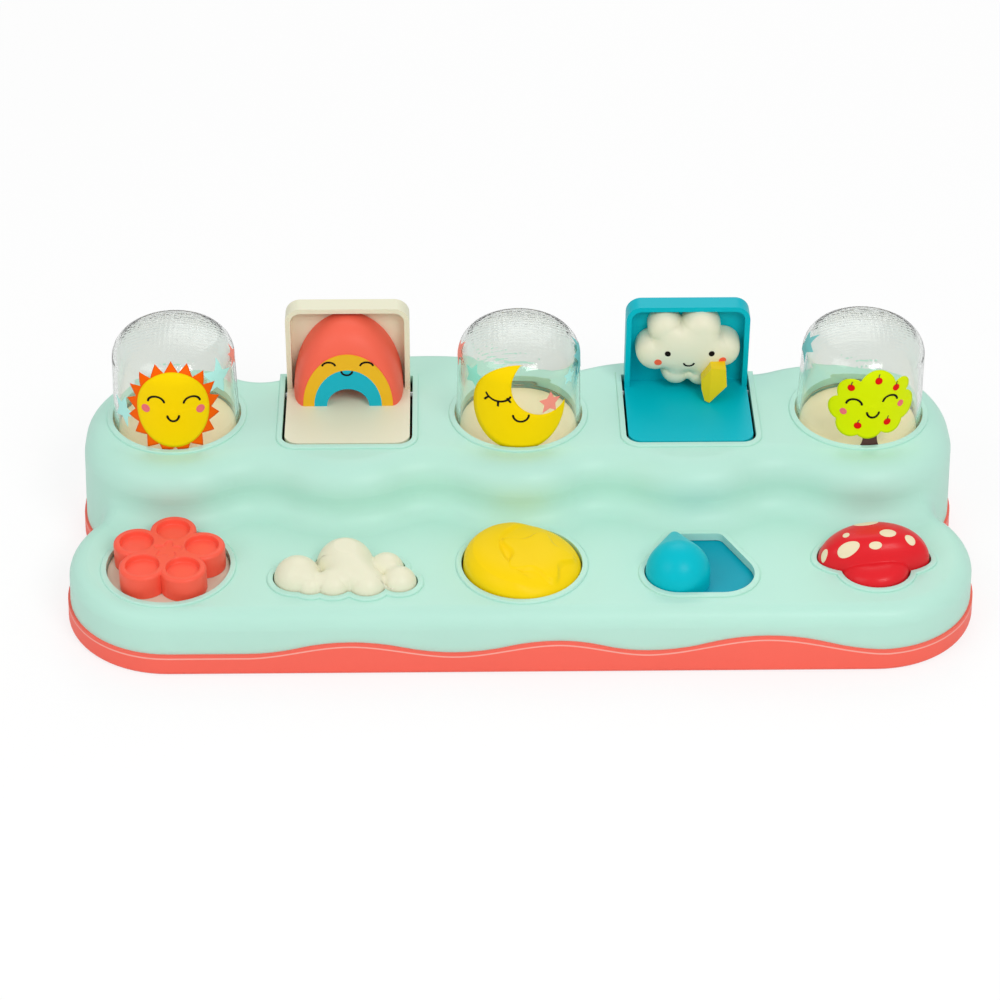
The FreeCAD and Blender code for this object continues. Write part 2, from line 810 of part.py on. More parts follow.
def door_lid(number):
    """The L of one door: floor, upright lid, side skirts, cheeks and the round back corner."""
    x = station(number)
    left = x - door_half
    right = x + door_half
    floor_low = terrace_top - door_wall
    floor = box(left, right, door_front, door_back, floor_low, terrace_top)
    corners = [e for e in floor.Edges if abs(e.Vertexes[0].Z - e.Vertexes[-1].Z) > 1
               and e.Vertexes[0].Y < door_front + 1]
    floor = floor.makeFillet(door_corner_r, corners)
    block = box(left, right, panel_front - door_skirt, door_back, hinge_z, door_top)
    corners = [e for e in block.Edges if abs(e.Vertexes[0].Y - e.Vertexes[-1].Y) > 1
               and e.Vertexes[0].Z > door_top - 1]
    block = block.makeFillet(door_shoulder_r, corners)
    room = box(left + door_skirt_wall, right - door_skirt_wall, panel_front - door_skirt - 1, panel_front,
               hinge_z - 1, door_top - door_skirt_wall)
    corners = [e for e in room.Edges if abs(e.Vertexes[0].Y - e.Vertexes[-1].Y) > 1
               and e.Vertexes[0].Z > door_top - door_skirt_wall - 1]
    room = room.makeFillet(door_shoulder_r - door_skirt_wall, corners)
    lid = block.cut(room)
    barrel = rod(Vector(left, hinge_y, hinge_z), Vector(right, hinge_y, hinge_z), hinge_inset)
    hood = barrel.common(box(left, right, hinge_y, door_back + 1, hinge_z - hinge_inset - 1, hinge_z))
    inner_r = hinge_inset - door_wall + gap
    a = Vector(left + door_skirt_wall, hinge_y, hinge_z)
    b = Vector(right - door_skirt_wall, hinge_y, hinge_z)
    hood = hood.cut(rod(a, b, inner_r))
    cheeks = []
    for side in (-1, 1):
        outer = x + side * door_half
        inside = outer - side * door_skirt_wall
        low = min(outer, inside)
        high = max(outer, inside)
        cheeks.append(rod(Vector(low, hinge_y, hinge_z), Vector(high, hinge_y, hinge_z), hinge_inset - gap))
        cheeks.append(box(low, high, hinge_y - hinge_inset + gap, hinge_y + hinge_inset - gap, hinge_z, floor_low + 1))
    lid = join([floor, lid, hood] + cheeks)
    bore = rod(Vector(left - 1, hinge_y, hinge_z), Vector(right + 1, hinge_y, hinge_z), hinge_pin_r + pin_gap)
    return lid.cut(bore)


def hinge_pin(number):
    reach = pin_length_half()
    x = station(number)
    return rod(Vector(x - reach, hinge_y, hinge_z), Vector(x + reach, hinge_y, hinge_z), hinge_pin_r)


def hinge_spring(number):
    """Torsion coil round the hinge pin, as its outer shape."""
    x = station(number)
    inner = hinge_pin_r + sleeve_gap
    a = Vector(x - hinge_coil_half, hinge_y, hinge_z)
    b = Vector(x + hinge_coil_half, hinge_y, hinge_z)
    return rod(a, b, inner + sleeve_wall).cut(rod(a, b, inner))


def arch_wire(half_width, height, y):
    """Half an ellipse standing on the door's floor, closed by its foot line."""
    x = station(2)
    z = terrace_top
    if height > half_width:
        curve = Part.Ellipse(Vector(x, y, z + height), Vector(x + half_width, y, z), Vector(x, y, z))
    else:
        curve = Part.Ellipse(Vector(x + half_width, y, z), Vector(x, y, z + height), Vector(x, y, z))
    a = Vector(x + half_width, y, z)
    b = Vector(x, y, z + height)
    c = Vector(x - half_width, y, z)
    first = curve.parameter(a)
    top = curve.parameter(b)
    last = curve.parameter(c)
    if (top - first) % (2 * math.pi) > math.pi:
        first, last = last, first
    return Part.Wire([Part.ArcOfEllipse(curve, first, last).toShape(), Part.LineSegment(a, c).toShape()])


def arch_block(size, y0, y1):
    return Part.Face(arch_wire(size[0], size[1], y0)).extrude(Vector(0, y1 - y0, 0))


def arch_front():
    return panel_front - arch_steps[-1][0]


def rainbow_arch():
    wires = [arch_wire(width, height, panel_front - out) for out, width, height in arch_steps]
    arch = Part.makeLoft(wires, True, False)
    pocket = arch_block(yellow_outer, arch_front() - 1, arch_front() + band_depth)
    way = arch_block(arch_door, arch_front() - 1, panel_front + 1)
    return arch.cut(pocket).cut(way)


def rainbow_band(outer, inner):
    front = arch_front() - band_recess
    band = arch_block(outer, front, arch_front() + band_depth)
    return band.cut(arch_block(inner, front - 1, arch_front() + band_depth + 1))


def cloud_figure():
    x = station(4)
    y = panel_front - cloud_lobe_back
    lobes = [ball(x + dx, y, terrace_top + dz, r) for dx, dz, r in cloud_lobes]
    whole = join(lobes)
    roof = door_top - door_skirt_wall - gap
    return whole.common(box(x - 30, x + 30, 0, panel_front, terrace_top + gap, roof))


def lightning_bolt():
    x = station(4)
    points = [Vector(x + dx, bolt_front, terrace_top + dz) for dx, dz in bolt_outline]
    bolt = prism(points, Vector(0, bolt_back - bolt_front, 0))
    ridge_x = x + bolt_lean[0]
    ridge_y = bolt_front - 1
    wedge = prism([Vector(x, ridge_y, terrace_top), Vector(ridge_x, ridge_y, terrace_top),
                   Vector(x, bolt_front + bolt_lean[1], terrace_top)], Vector(0, 0, door_height))
    return bolt.cut(wedge).cut(cloud_figure())


def flower_dial():
    x = station(1)
    low = deck_top - dial_disc_drop
    high = low + petal_height
    solids = [rounded_post(x, front_row_y, low, high - petal_recess, petal_heart_r, petal_heart_round)]
    recesses = []
    for i in range(5):
        turn = math.radians(90 + petal_turn + 72 * i)
        px = x + petal_reach * math.cos(turn)
        py = front_row_y + petal_reach * math.sin(turn)
        petal = rounded_post(px, py, low, high, petal_r, petal_round)
        solids.append(petal)
        cup = post(px, py, high - petal_recess, high + 1, petal_recess_r)
        recesses.append(cup)
    return join(solids).cut(recesses)


def flower_disc():
    low = flange_z - flange_height
    profile = [(0, tray_floor + gap), (dial_stem_r, tray_floor + gap), (dial_stem_r, low), (dial_flange_r, low),
               (dial_flange_r, flange_z), (dial_disc_r, flange_z), (dial_disc_r, deck_top - dial_disc_drop),
               (0, deck_top - dial_disc_drop)]
    return revolved(profile, station(1), front_row_y)


def dial_crank():
    x = station(1)
    low = latch_top + gap
    disc = tube(x, front_row_y, low, low + crank_height, crank_r, dial_stem_r)
    pin = post(x - crank_arm, front_row_y, latch_z + sleeve_gap, low + 1, crank_pin_r)
    return join([disc, pin])


def dial_spring():
    low = latch_top + 2 * gap + crank_height
    high = flange_z - flange_height - gap
    return tube(station(1), front_row_y, low, high, dial_stem_r + dial_coil, dial_stem_r + sleeve_gap)


def wedge_leg(x, face_y, top):
    """Leg whose front face slopes so that its fall pushes a latch bar forwards."""
    foot_y = face_y + leg_slope
    back_y = foot_y + leg_foot
    corners = [(face_y, top), (face_y, latch_z + leg_slope), (foot_y, latch_z), (back_y, latch_z), (back_y, top)]
    points = [Vector(x - leg_width / 2, y, z) for y, z in corners]
    return prism(points, Vector(leg_width, 0, 0))


def cloud_button():
    x = station(2)
    low = flange_z - flange_height
    spheres = [ball(x + dx, front_row_y + dy, deck_top, r) for dx, dy, r in button_lobes]
    skirt = button_plan(low, deck_top, 0)
    lower = box(x - 40, x + 40, front_row_y - 40, front_row_y + 40, -50, deck_top)
    outer = join([join(spheres).cut(lower), skirt])
    flange = button_plan(low, flange_z, button_flange)
    small = [ball(x + dx, front_row_y + dy, deck_top, r - button_wall) for dx, dy, r in button_lobes]
    hollow = join([join(small).cut(lower), button_plan(low - 1, deck_top, -button_wall)])
    shell = outer.fuse(flange).cut(hollow)
    room = outer.fuse(button_plan(0, low, 0))
    hub_r = button_post_r + guide_gap + button_hub_wall
    hub = post(x + button_post_x, front_row_y, button_hub_low, terrace_top, hub_r)
    face = x + button_leg_x + gap
    foot = latch_top - button_leg_foot
    corners = [(face - button_leg_rise, terrace_top), (face - button_leg_rise, latch_top + button_leg_rise),
               (face + button_leg_foot, foot), (face + 2 * button_leg_foot, foot), (face + 2 * button_leg_foot, terrace_top)]
    points = [Vector(px, front_row_y - button_leg_depth, pz) for px, pz in corners]
    leg = prism(points, Vector(0, button_leg_depth, 0))
    body = shell.fuse([hub.common(room), leg.common(room)]).removeSplitter()
    bore = post(x + button_post_x, front_row_y, 0, deck_top + 3, button_post_r + guide_gap)
    return body.cut(bore)


def cloud_button_spring():
    return tube(station(2) + button_post_x, front_row_y, tray_floor, button_hub_low, button_post_r + coil_wire,
                button_post_r + sleeve_gap)


def tilted(shape, x, z, degrees):
    """Turn a rocker about its pin from level to its rest tilt; positive lifts the left side."""
    shape = shape.copy()
    shape.rotate(Vector(x, 0, z), Vector(0, 1, 0), degrees)
    return shape


def cap_of_ball(x, y, rim_z, rim_r, rise):
    """Round cap as the part of a ball above its rim."""
    r = (rim_r ** 2 + rise ** 2) / (2 * rise)
    return ball(x, y, rim_z + rise - r, r).common(post(x, y, rim_z, rim_z + rise + 1, rim_r))


def rocker_works(x, side, drop):
    """Hub round the pin, web above it and the wedge leg, before the tilt."""
    hub_reach = rocker_post_reach - rocker_post_half_depth - button_gap
    hub = rod(Vector(x, front_row_y - hub_reach, rocker_z), Vector(x, front_row_y + hub_reach, rocker_z), rocker_hub_r)
    web = box(x - rocker_web / 2, x + rocker_web / 2, front_row_y - hub_reach, front_row_y + hub_reach, rocker_z,
              terrace_top)
    leg = wedge_leg(x + side * lane_out, front_row_y - leg_front, terrace_top)
    leg.translate(Vector(0, 0, -drop))
    bore = rod(Vector(x, front_row_y - rocker_post_reach, rocker_z), Vector(x, front_row_y + rocker_post_reach, rocker_z),
               rocker_pin_r + pin_gap)
    return [hub, web, leg], bore


def star_prism(x, y, z0, z1):
    points = []
    for i in range(10):
        r = star_r if i % 2 == 0 else star_waist_r
        angle = math.radians(star_turn + 36 * i)
        points.append(Vector(x + r * math.cos(angle), y + r * math.sin(angle), z0))
    star = prism(points, Vector(0, 0, z1 - z0))
    tips = [e for e in star.Edges if abs(e.Vertexes[0].Z - e.Vertexes[-1].Z) > 1]
    return star.makeFillet(star_tip_round, tips)


def moon_rocker():
    x = station(3)
    low = rocker_z - rocker_skirt
    rim = deck_top + moon_rim
    cap = join([post(x, front_row_y, low, rim, rocker_cap_r),
                cap_of_ball(x, front_row_y, rim, rocker_cap_r, moon_rise)])
    star = star_prism(x + star_place[0], front_row_y + star_place[1], rim, rim + moon_rise + star_rise)
    crescent = cap_of_ball(x, front_row_y, rim, rocker_cap_r - gap, moon_rise + crescent_rise)
    bite = post(x + crescent_bite[0], front_row_y + crescent_bite[1], rim - 1, terrace_top, crescent_r)
    crescent = crescent.cut(bite)
    outer = cap.fuse([star, crescent])
    hollow = join([post(x, front_row_y, low - 1, rim - 1, rocker_cap_r - rocker_wall),
                   cap_of_ball(x, front_row_y, rim - 1, rocker_cap_r - rocker_wall, moon_rise - 1)])
    works, bore = rocker_works(x, -1, lane_out * math.sin(math.radians(moon_rest_degrees)))
    room = join([outer, post(x, front_row_y, 0, rim, rocker_cap_r - button_gap)])
    whole = outer.cut(hollow).fuse([w.common(room) for w in works]).cut(bore)
    return tilted(whole.removeSplitter(), x, rocker_z, moon_rest_degrees)


def scaled(shape, centre, sx, sy, sz):
    """Stretch about a centre."""
    matrix = Matrix()
    matrix.move(centre * -1)
    matrix.scale(sx, sy, sz)
    matrix.move(centre)
    return shape.transformGeometry(matrix)


def mushroom_form(shrink):
    """Upper skin of the mushroom, grown inwards by a wall."""
    x = station(5)
    centre = Vector(x, mushroom_middle_y, deck_top)
    wide = mushroom_half_width - shrink
    high = mushroom_height - shrink
    upper = box(x - 40, x + 40, front_row_y - 40, front_row_y + 60, deck_top, deck_top + 40)
    sphere = ball(0, 0, 0, 1.0)
    back = sphere.common(box(-2, 2, 0, 2, 0, 2))
    front = sphere.common(box(-2, 2, -2, 0, 0, 2))
    cap_back = scaled(back, Vector(0, 0, 0), wide, mushroom_back_depth - shrink, high)
    cap_front = scaled(front, Vector(0, 0, 0), wide, mushroom_front_depth - shrink, high)
    cap_back.translate(centre)
    cap_front.translate(centre)
    half = sphere.common(box(-2, 2, -2, 2, 0, 2))
    stem = scaled(half, Vector(0, 0, 0), stem_half_width - shrink, stem_depth - shrink, stem_height - shrink)
    stem.translate(Vector(x, stem_middle_y, deck_top))
    return [s.common(upper) for s in (cap_back, cap_front, stem)]


def mushroom_rocker():
    x = station(5)
    low = rocker_z - rocker_skirt
    outer = join(mushroom_form(0) + [mushroom_plan(low, deck_top, 0)])
    hollow = join(mushroom_form(rocker_wall) + [mushroom_plan(low - 1, deck_top, -rocker_wall)])
    works, bore = rocker_works(x, 1, lane_out * math.sin(math.radians(mushroom_rest_degrees)))
    room = outer.fuse(mushroom_plan(0, low, -button_gap))
    whole = outer.cut(hollow).fuse([w.common(room) for w in works]).cut(bore)
    return tilted(whole, x, rocker_z, -mushroom_rest_degrees)


def rocker_spring(number, side):
    """Small upright coil under the low side of a rocker, as its outer shape."""
    x = station(number) + side * rocker_spring_out
    y = front_row_y + rocker_spring_back
    return tube(x, y, tray_floor, rocker_spring_top, rocker_spring_r, rocker_spring_bore)


def raindrop_plate():
    x = station(4)
    plate = box(x + plate_left, x + plate_right, plate_front, plate_back, flange_z - flange_height, flange_z)
    pin = post(x + slide_pin_x, slide_pin_y, latch_z + sleeve_gap, flange_z - 1, crank_pin_r)
    return join([plate, pin])


def raindrop_knob():
    x = station(4) + drop_rest_x
    z = deck_top + drop_rise
    lower = slab(drop_lobes(0, 0), 0, flange_z, z)
    length = drop_middle_y - drop_tip_y
    lean = (drop_r - drop_tip_r) / abs(length)
    rise = math.sqrt(1 - lean ** 2)
    bulb = Vector(x + drop_r * rise, drop_middle_y + drop_r * lean, z)
    tip = Vector(x + drop_tip_r * rise, drop_tip_y + drop_tip_r * lean, z)
    front = Vector(x, drop_middle_y - drop_r, z)
    back = Vector(x, drop_tip_y + drop_tip_r, z)
    turn = math.atan2(bulb.y - drop_middle_y, bulb.x - x)
    low_turn = (turn - math.pi / 2) / 2
    low_mid = Vector(x + drop_r * math.cos(low_turn), drop_middle_y + drop_r * math.sin(low_turn), z)
    high_turn = (turn + math.pi / 2) / 2
    high_mid = Vector(x + drop_tip_r * math.cos(high_turn), drop_tip_y + drop_tip_r * math.sin(high_turn), z)
    wire = Part.Wire([Part.Arc(front, low_mid, bulb).toShape(), Part.LineSegment(bulb, tip).toShape(),
                      Part.Arc(tip, high_mid, back).toShape(), Part.LineSegment(back, front).toShape()])
    upper = Part.Face(wire).revolve(Vector(x, 0, z), Vector(0, -1, 0), 180)
    return join([lower, upper])


def latch_bar(number):
    """Straight bar under a dome that ends in the nose at the guide collar."""
    x = station(number)
    return box(x - latch_half_width, x + latch_half_width, bar_front, nose_tip_y, latch_z, latch_top)


def sun_latch():
    """Bar with a fork that the crank's pin pushes."""
    x = station(1)
    root = x - fork_root
    tip = x - fork_tip
    back = bar_front + cross_depth
    half = crank_pin_r + fork_gap
    far = half + fork_prong
    spine = box(root, root + fork_prong, front_row_y - far, back, latch_z, latch_top)
    cross = box(root, x + latch_half_width, bar_front, back, latch_z, latch_top)
    low_prong = box(root, tip, front_row_y - far, front_row_y - half, latch_z, latch_top)
    high_prong = box(root, tip, front_row_y + half, front_row_y + far, latch_z, latch_top)
    return join([latch_bar(1), spine, cross, low_prong, high_prong])


def rocker_latch(number, side):
    """Bar with a window that a rocker's wedge leg pushes."""
    x = station(number)
    lane = x + side * lane_out
    half = window_half + window_rim
    back = bar_front + cross_depth
    frame = box(lane - half, lane + half, window_front - window_end, back, latch_z, latch_top)
    window = box(lane - window_half, lane + window_half, window_front, window_back, latch_z - 1, latch_top + 1)
    cross = box(min(x, lane - half), max(x, lane + half), bar_front, back, latch_z, latch_top)
    return join([latch_bar(number), frame.cut(window), cross])


def bar_between(a, b, width, z0, z1):
    """Flat link with square ends between two plan points."""
    along = Vector(b[0] - a[0], b[1] - a[1], 0)
    side = Vector(-along.y, along.x, 0) * (width / 2 / along.Length)
    start = Vector(a[0], a[1], z0)
    end = Vector(b[0], b[1], z0)
    return prism([start + side, start - side, end - side, end + side], Vector(0, 0, z1 - z0))


def rainbow_lever():
    px, py = rainbow_pivot
    hub = post(px, py, latch_z, latch_top, lever_hub_r)
    contact = station(2) + button_leg_x
    middle = contact - shoe_width / 2
    shoe = box(contact - shoe_width, contact, front_row_y - shoe_front, front_row_y + shoe_back, latch_z, latch_top)
    front_arm = bar_between((px, py), (middle, front_row_y + shoe_width / 2), lever_arm_width, latch_z, latch_top)
    back_arm = bar_between((px, py), (px, nose_y), lever_arm_width, latch_z, latch_top)
    tip = station(2) + door_half + nose_gap
    nose = box(tip, px, nose_y - nose_width, nose_y, latch_z, latch_top)
    bore = post(px, py, latch_z - 1, latch_top + 1, lever_post_r + pin_gap)
    return join([hub, shoe, front_arm, back_arm, nose]).cut(bore)


def cloud_lever():
    px, py = cloud_pivot
    hub = post(px, py, latch_z, latch_top, lever_hub_r)
    pin_y = slide_pin_y
    half = crank_pin_r + fork_gap
    front = pin_y - cloud_prong_front
    back = pin_y + cloud_prong_back
    prongs = []
    for side in (-1, 1):
        inner = px + side * half
        outer = inner + side * cloud_prong
        prongs.append(box(min(inner, outer), max(inner, outer), front, back, latch_z, latch_top))
    front_arm = bar_between((px, py), (px, back - 1), lever_arm_width, latch_z, latch_top)
    back_arm = bar_between((px, py), (px, nose_y), lever_arm_width, latch_z, latch_top)
    whole = join([hub, front_arm, back_arm] + prongs)
    whole = whole.cut(post(px, py, latch_z - 1, latch_top + 1, lever_post_r + pin_gap))
    rest = math.degrees(math.atan2(drop_travel / 2, py - pin_y))
    whole.rotate(Vector(px, py, 0), upward, -rest)
    return whole


def lever_spring(place):
    """Torsion coil on a lever's post, as its outer shape."""
    x, y = place
    return tube(x, y, latch_top + gap, latch_top + lever_post_rise - 1, lever_post_r + lever_coil, lever_post_r + sleeve_gap)


def latch_spring(number):
    """Short coil in front of a latch bar's guide, as its outer shape."""
    x = station(number)
    a = Vector(x, guide_front - latch_spring_length, latch_spring_z)
    b = Vector(x, guide_front, latch_spring_z)
    return rod(a, b, latch_spring_r).cut(rod(a, b, latch_spring_bore))


def save(name, shape):
    solids = shape.Solids
    whole = solids[0].copy() if len(solids) == 1 else Part.makeCompound(solids)
    if not whole.isValid():
        print("not valid:", name)
    print(name, len(solids), round(whole.Volume / 1000, 2), "cm3")
    whole.translate(Vector(0, -middle_y(), 0))
    whole.exportStep("parts/" + name + ".step")


def main():
    os.makedirs("parts", exist_ok=True)
    save("upper_housing", upper_housing())
    save("base_tray", base_tray())
    save("housing_screws", housing_screws())
    for number, name in ((1, "sun"), (3, "moon"), (5, "tree")):
        save(name + "_dome", clear_dome(number))
        save(name + "_platform", dome_platform(number))
        save(name + "_dome_spring", dome_spring(number))
        save(name + "_latch_spring", latch_spring(number))
    for number, name in ((2, "rainbow"), (4, "cloud")):
        save(name + "_lid", door_lid(number))
        save(name + "_hinge_pin", hinge_pin(number))
        save(name + "_hinge_spring", hinge_spring(number))
    save("rainbow_arch", rainbow_arch())
    save("rainbow_yellow_band", rainbow_band(yellow_outer, teal_outer))
    save("rainbow_teal_band", rainbow_band(teal_outer, arch_door))
    save("cloud_figure", cloud_figure())
    save("lightning_bolt", lightning_bolt())
    save("flower_dial", flower_dial())
    save("flower_disc", flower_disc())
    save("dial_crank", dial_crank())
    save("dial_spring", dial_spring())
    save("cloud_button", cloud_button())
    save("cloud_button_spring", cloud_button_spring())
    save("moon_rocker", moon_rocker())
    save("moon_rocker_pin", rocker_pin(station(3), rocker_z))
    save("moon_rocker_spring", rocker_spring(3, 1))
    save("mushroom_rocker", mushroom_rocker())
    save("mushroom_rocker_pin", rocker_pin(station(5), rocker_z))
    save("mushroom_rocker_spring", rocker_spring(5, -1))
    save("raindrop_knob", raindrop_knob())
    save("raindrop_plate", raindrop_plate())
    save("sun_latch", sun_latch())
    save("moon_latch", rocker_latch(3, -1))
    save("tree_latch", rocker_latch(5, 1))
    save("rainbow_lever", rainbow_lever())
    save("cloud_lever", cloud_lever())
    save("rainbow_lever_spring", lever_spring(rainbow_pivot))
    save("cloud_lever_spring", lever_spring(cloud_pivot))


main()
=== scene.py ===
"""Looks of the pop up toy: finishes, printed figures, coils, floor, lamps and camera."""
import bmesh
import bpy
import math
import numpy as np
from mathutils import Matrix, Vector


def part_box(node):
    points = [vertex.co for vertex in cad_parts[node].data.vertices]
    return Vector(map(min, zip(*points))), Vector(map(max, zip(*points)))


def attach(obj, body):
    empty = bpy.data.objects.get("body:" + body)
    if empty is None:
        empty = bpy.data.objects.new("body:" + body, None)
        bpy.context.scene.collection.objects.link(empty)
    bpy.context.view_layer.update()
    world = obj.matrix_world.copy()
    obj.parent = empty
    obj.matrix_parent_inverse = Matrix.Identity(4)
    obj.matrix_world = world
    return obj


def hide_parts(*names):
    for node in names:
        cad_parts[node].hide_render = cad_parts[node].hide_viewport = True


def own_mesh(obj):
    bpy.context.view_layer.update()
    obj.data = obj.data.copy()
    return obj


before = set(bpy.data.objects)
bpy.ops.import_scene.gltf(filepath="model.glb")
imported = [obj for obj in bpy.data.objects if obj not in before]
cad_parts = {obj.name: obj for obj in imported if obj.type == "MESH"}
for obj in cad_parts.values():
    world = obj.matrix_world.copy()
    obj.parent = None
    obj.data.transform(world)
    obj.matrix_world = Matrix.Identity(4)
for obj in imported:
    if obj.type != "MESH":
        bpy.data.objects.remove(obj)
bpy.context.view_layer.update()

bl_info = {
    "name": "Pop up toy",
    "version": (1, 0, 0),
    "blender": (4, 5, 0),
    "location": "View3D > Sidebar > Pop up toy",
    "description": "Finishes, prints and stage of a two-level pop up toy",
    "category": "Add Mesh",
}

MM = 0.001

# Places in the toy's own frame, in millimetres
BACK_ROW = 27.75
FRONT_ROW = -40.85
STATIONS = {"sun": -132.0, "rainbow": -66.0, "moon": 0.0, "cloud": 66.0, "tree": 132.0}
TERRACE = 48.0
DECK = 26.0

# Skin of a dome: foot, draft per millimetre of height, and the round of its shoulder
DOME_FOOT_R = 24.4
DOME_FOOT_Z = 41.3
DOME_DRAFT = 0.0295
PRINT_R = 23.8
SHOULDER_Z = 75.45
SHOULDER_R = 10.5
SHOULDER_IN = 12.89

# Thickness of a print, its lift off the skin and the lift of each colour over the last
PRINT_THICK = 0.05
PRINT_LIFT = 0.1
LAYER_STEP = 0.07

# Wavy seam of the tray: its lowest level, and how much higher it is at each place along X
WAVE_LOW = 9.3
WAVE_MARKS = ((-102.0, 0.0), (-64.0, 4.9), (-25.0, 0.1), (13.0, 5.0), (46.0, 0.4), (90.0, 6.7), (136.0, 0.0))
WAVE_SPAN = 180.0
WAVE_FULL = 8.0
# Depth under the seam of the painted highlight that stands in for light on the tray's step
HIGHLIGHT_BELOW = 1.5

# How far under the deck the rockers turn
ROCKER_DROP = 3.0


def linear(hexa):
    """Colour as linear light from its screen value."""
    value = [int(hexa[i:i + 2], 16) / 255 for i in (0, 2, 4)]
    return tuple(c / 12.92 if c < 0.04045 else ((c + 0.055) / 1.055) ** 2.4 for c in value) + (1.0,)


def colour_prop(name, hexa, text):
    """Colour that a user may change."""
    return bpy.props.FloatVectorProperty(name=name, description=text, subtype="COLOR", size=4, min=0, max=1,
                                         default=linear(hexa))


class ToyColours(bpy.types.PropertyGroup):
    mint: colour_prop("Housing", "BEEBDB", "Mint of the upper housing")
    coral: colour_prop("Tray", "FF6B5A", "Coral of the tray")
    cream: colour_prop("Cream", "EDEBD0", "Cream of the door and the clouds")
    platform: colour_prop("Platforms", "FFE8B8", "Warm cream of the platforms under the domes")
    teal: colour_prop("Teal", "00BECE", "Teal of the cloud door and raindrop")
    arch: colour_prop("Arch", "FF6A52", "Outer band of the rainbow")
    band_yellow: colour_prop("Yellow band", "F6BE18", "Middle band of the rainbow")
    band_teal: colour_prop("Teal band", "00B8CE", "Inner band of the rainbow")
    bolt: colour_prop("Bolt", "F8D81C", "Lightning bolt")
    sun: colour_prop("Sun", "FFDB00", "Printed sun and moon")
    ray: colour_prop("Rays", "FF6400", "Rays of the sun")
    moon: colour_prop("Moon rocker", "FFD800", "Yellow of the moon rocker")
    leaf: colour_prop("Leaves", "DCF000", "Crown of the printed tree")
    mushroom: colour_prop("Mushroom", "E8222B", "Red of the mushroom")
    flower: colour_prop("Flower", "FF6049", "Coral of the flower")


class ToySizes(bpy.types.PropertyGroup):
    stroke: bpy.props.FloatProperty(name="Stroke", description="Width of a printed line", default=0.00082,
                                    unit="LENGTH")
    # Half width of the painted highlight line on the tray
    tray_highlight_half: bpy.props.FloatProperty(name="Tray line", description="Half width of the light line",
                                       default=0.00028, unit="LENGTH")


# Materials

def node(tree, kind, **values):
    """New shader node with some of its settings."""
    made = tree.nodes.new(kind)
    for key, value in values.items():
        setattr(made, key, value)
    return made


def moulded_group():
    """Slow tint drift and fine grain shared by every moulded finish."""
    if "Moulded plastic" in bpy.data.node_groups:
        return bpy.data.node_groups["Moulded plastic"]
    group = bpy.data.node_groups.new("Moulded plastic", "ShaderNodeTree")
    put = group.interface.new_socket
    put("Colour", in_out="INPUT", socket_type="NodeSocketColor")
    put("Drift", in_out="INPUT", socket_type="NodeSocketFloat")
    put("Gloss", in_out="INPUT", socket_type="NodeSocketFloat")
    put("Grain", in_out="INPUT", socket_type="NodeSocketFloat")
    put("Colour", in_out="OUTPUT", socket_type="NodeSocketColor")
    put("Roughness", in_out="OUTPUT", socket_type="NodeSocketFloat")
    put("Height", in_out="OUTPUT", socket_type="NodeSocketFloat")
    inside = node(group, "NodeGroupInput")
    outside = node(group, "NodeGroupOutput")
    place = node(group, "ShaderNodeTexCoord")
    slow = node(group, "ShaderNodeTexNoise")
    slow.inputs["Scale"].default_value = 14
    slow.inputs["Detail"].default_value = 3
    fine = node(group, "ShaderNodeTexNoise")
    fine.inputs["Detail"].default_value = 2
    spread = node(group, "ShaderNodeMapRange")
    shade = node(group, "ShaderNodeMix", data_type="RGBA", blend_type="MULTIPLY")
    shade.inputs["Factor"].default_value = 1
    low = node(group, "ShaderNodeMath", operation="SUBTRACT")
    low.inputs[0].default_value = 1
    rough = node(group, "ShaderNodeMath", operation="MULTIPLY_ADD")
    rough.inputs[1].default_value = 0.08
    link = group.links.new
    link(place.outputs["Object"], slow.inputs["Vector"])
    link(place.outputs["Object"], fine.inputs["Vector"])
    link(inside.outputs["Grain"], fine.inputs["Scale"])
    link(inside.outputs["Drift"], low.inputs[1])
    link(slow.outputs["Fac"], spread.inputs["Value"])
    spread.inputs["From Min"].default_value = 0.3
    spread.inputs["From Max"].default_value = 0.7
    link(low.outputs[0], spread.inputs["To Min"])
    spread.inputs["To Max"].default_value = 1
    link(inside.outputs["Colour"], shade.inputs["A"])
    link(spread.outputs["Result"], shade.inputs["B"])
    link(fine.outputs["Fac"], rough.inputs[0])
    link(inside.outputs["Gloss"], rough.inputs[2])
    link(shade.outputs["Result"], outside.inputs["Colour"])
    link(rough.outputs[0], outside.inputs["Roughness"])
    link(fine.outputs["Fac"], outside.inputs["Height"])
    return group


def plastic(name, colour, gloss=0.34, drift=0.05, grain=900, bump=0.05, coat=0.0, shine=0.3, soft=0.0):
    """Moulded plastic: tint drift, fine grain in the bump and in the gloss."""
    made = bpy.data.materials.new(name)
    made.use_nodes = True
    tree = made.node_tree
    shader = tree.nodes["Principled BSDF"]
    effect = node(tree, "ShaderNodeGroup", node_tree=moulded_group())
    effect.inputs["Colour"].default_value = tuple(colour)
    effect.inputs["Drift"].default_value = drift
    effect.inputs["Gloss"].default_value = gloss
    effect.inputs["Grain"].default_value = grain
    relief = node(tree, "ShaderNodeBump")
    relief.inputs["Strength"].default_value = bump
    relief.inputs["Distance"].default_value = 0.0002
    link = tree.links.new
    link(effect.outputs["Colour"], shader.inputs["Base Color"])
    link(effect.outputs["Roughness"], shader.inputs["Roughness"])
    link(effect.outputs["Height"], relief.inputs["Height"])
    link(relief.outputs["Normal"], shader.inputs["Normal"])
    shader.inputs["Coat Weight"].default_value = coat
    shader.inputs["Coat Roughness"].default_value = 0.15
    shader.inputs["Specular IOR Level"].default_value = shine
    if soft:
        shader.inputs["Subsurface Weight"].default_value = soft
        shader.inputs["Subsurface Radius"].default_value = (0.6, 0.8, 0.7)
        shader.inputs["Subsurface Scale"].default_value = 0.002
    return made


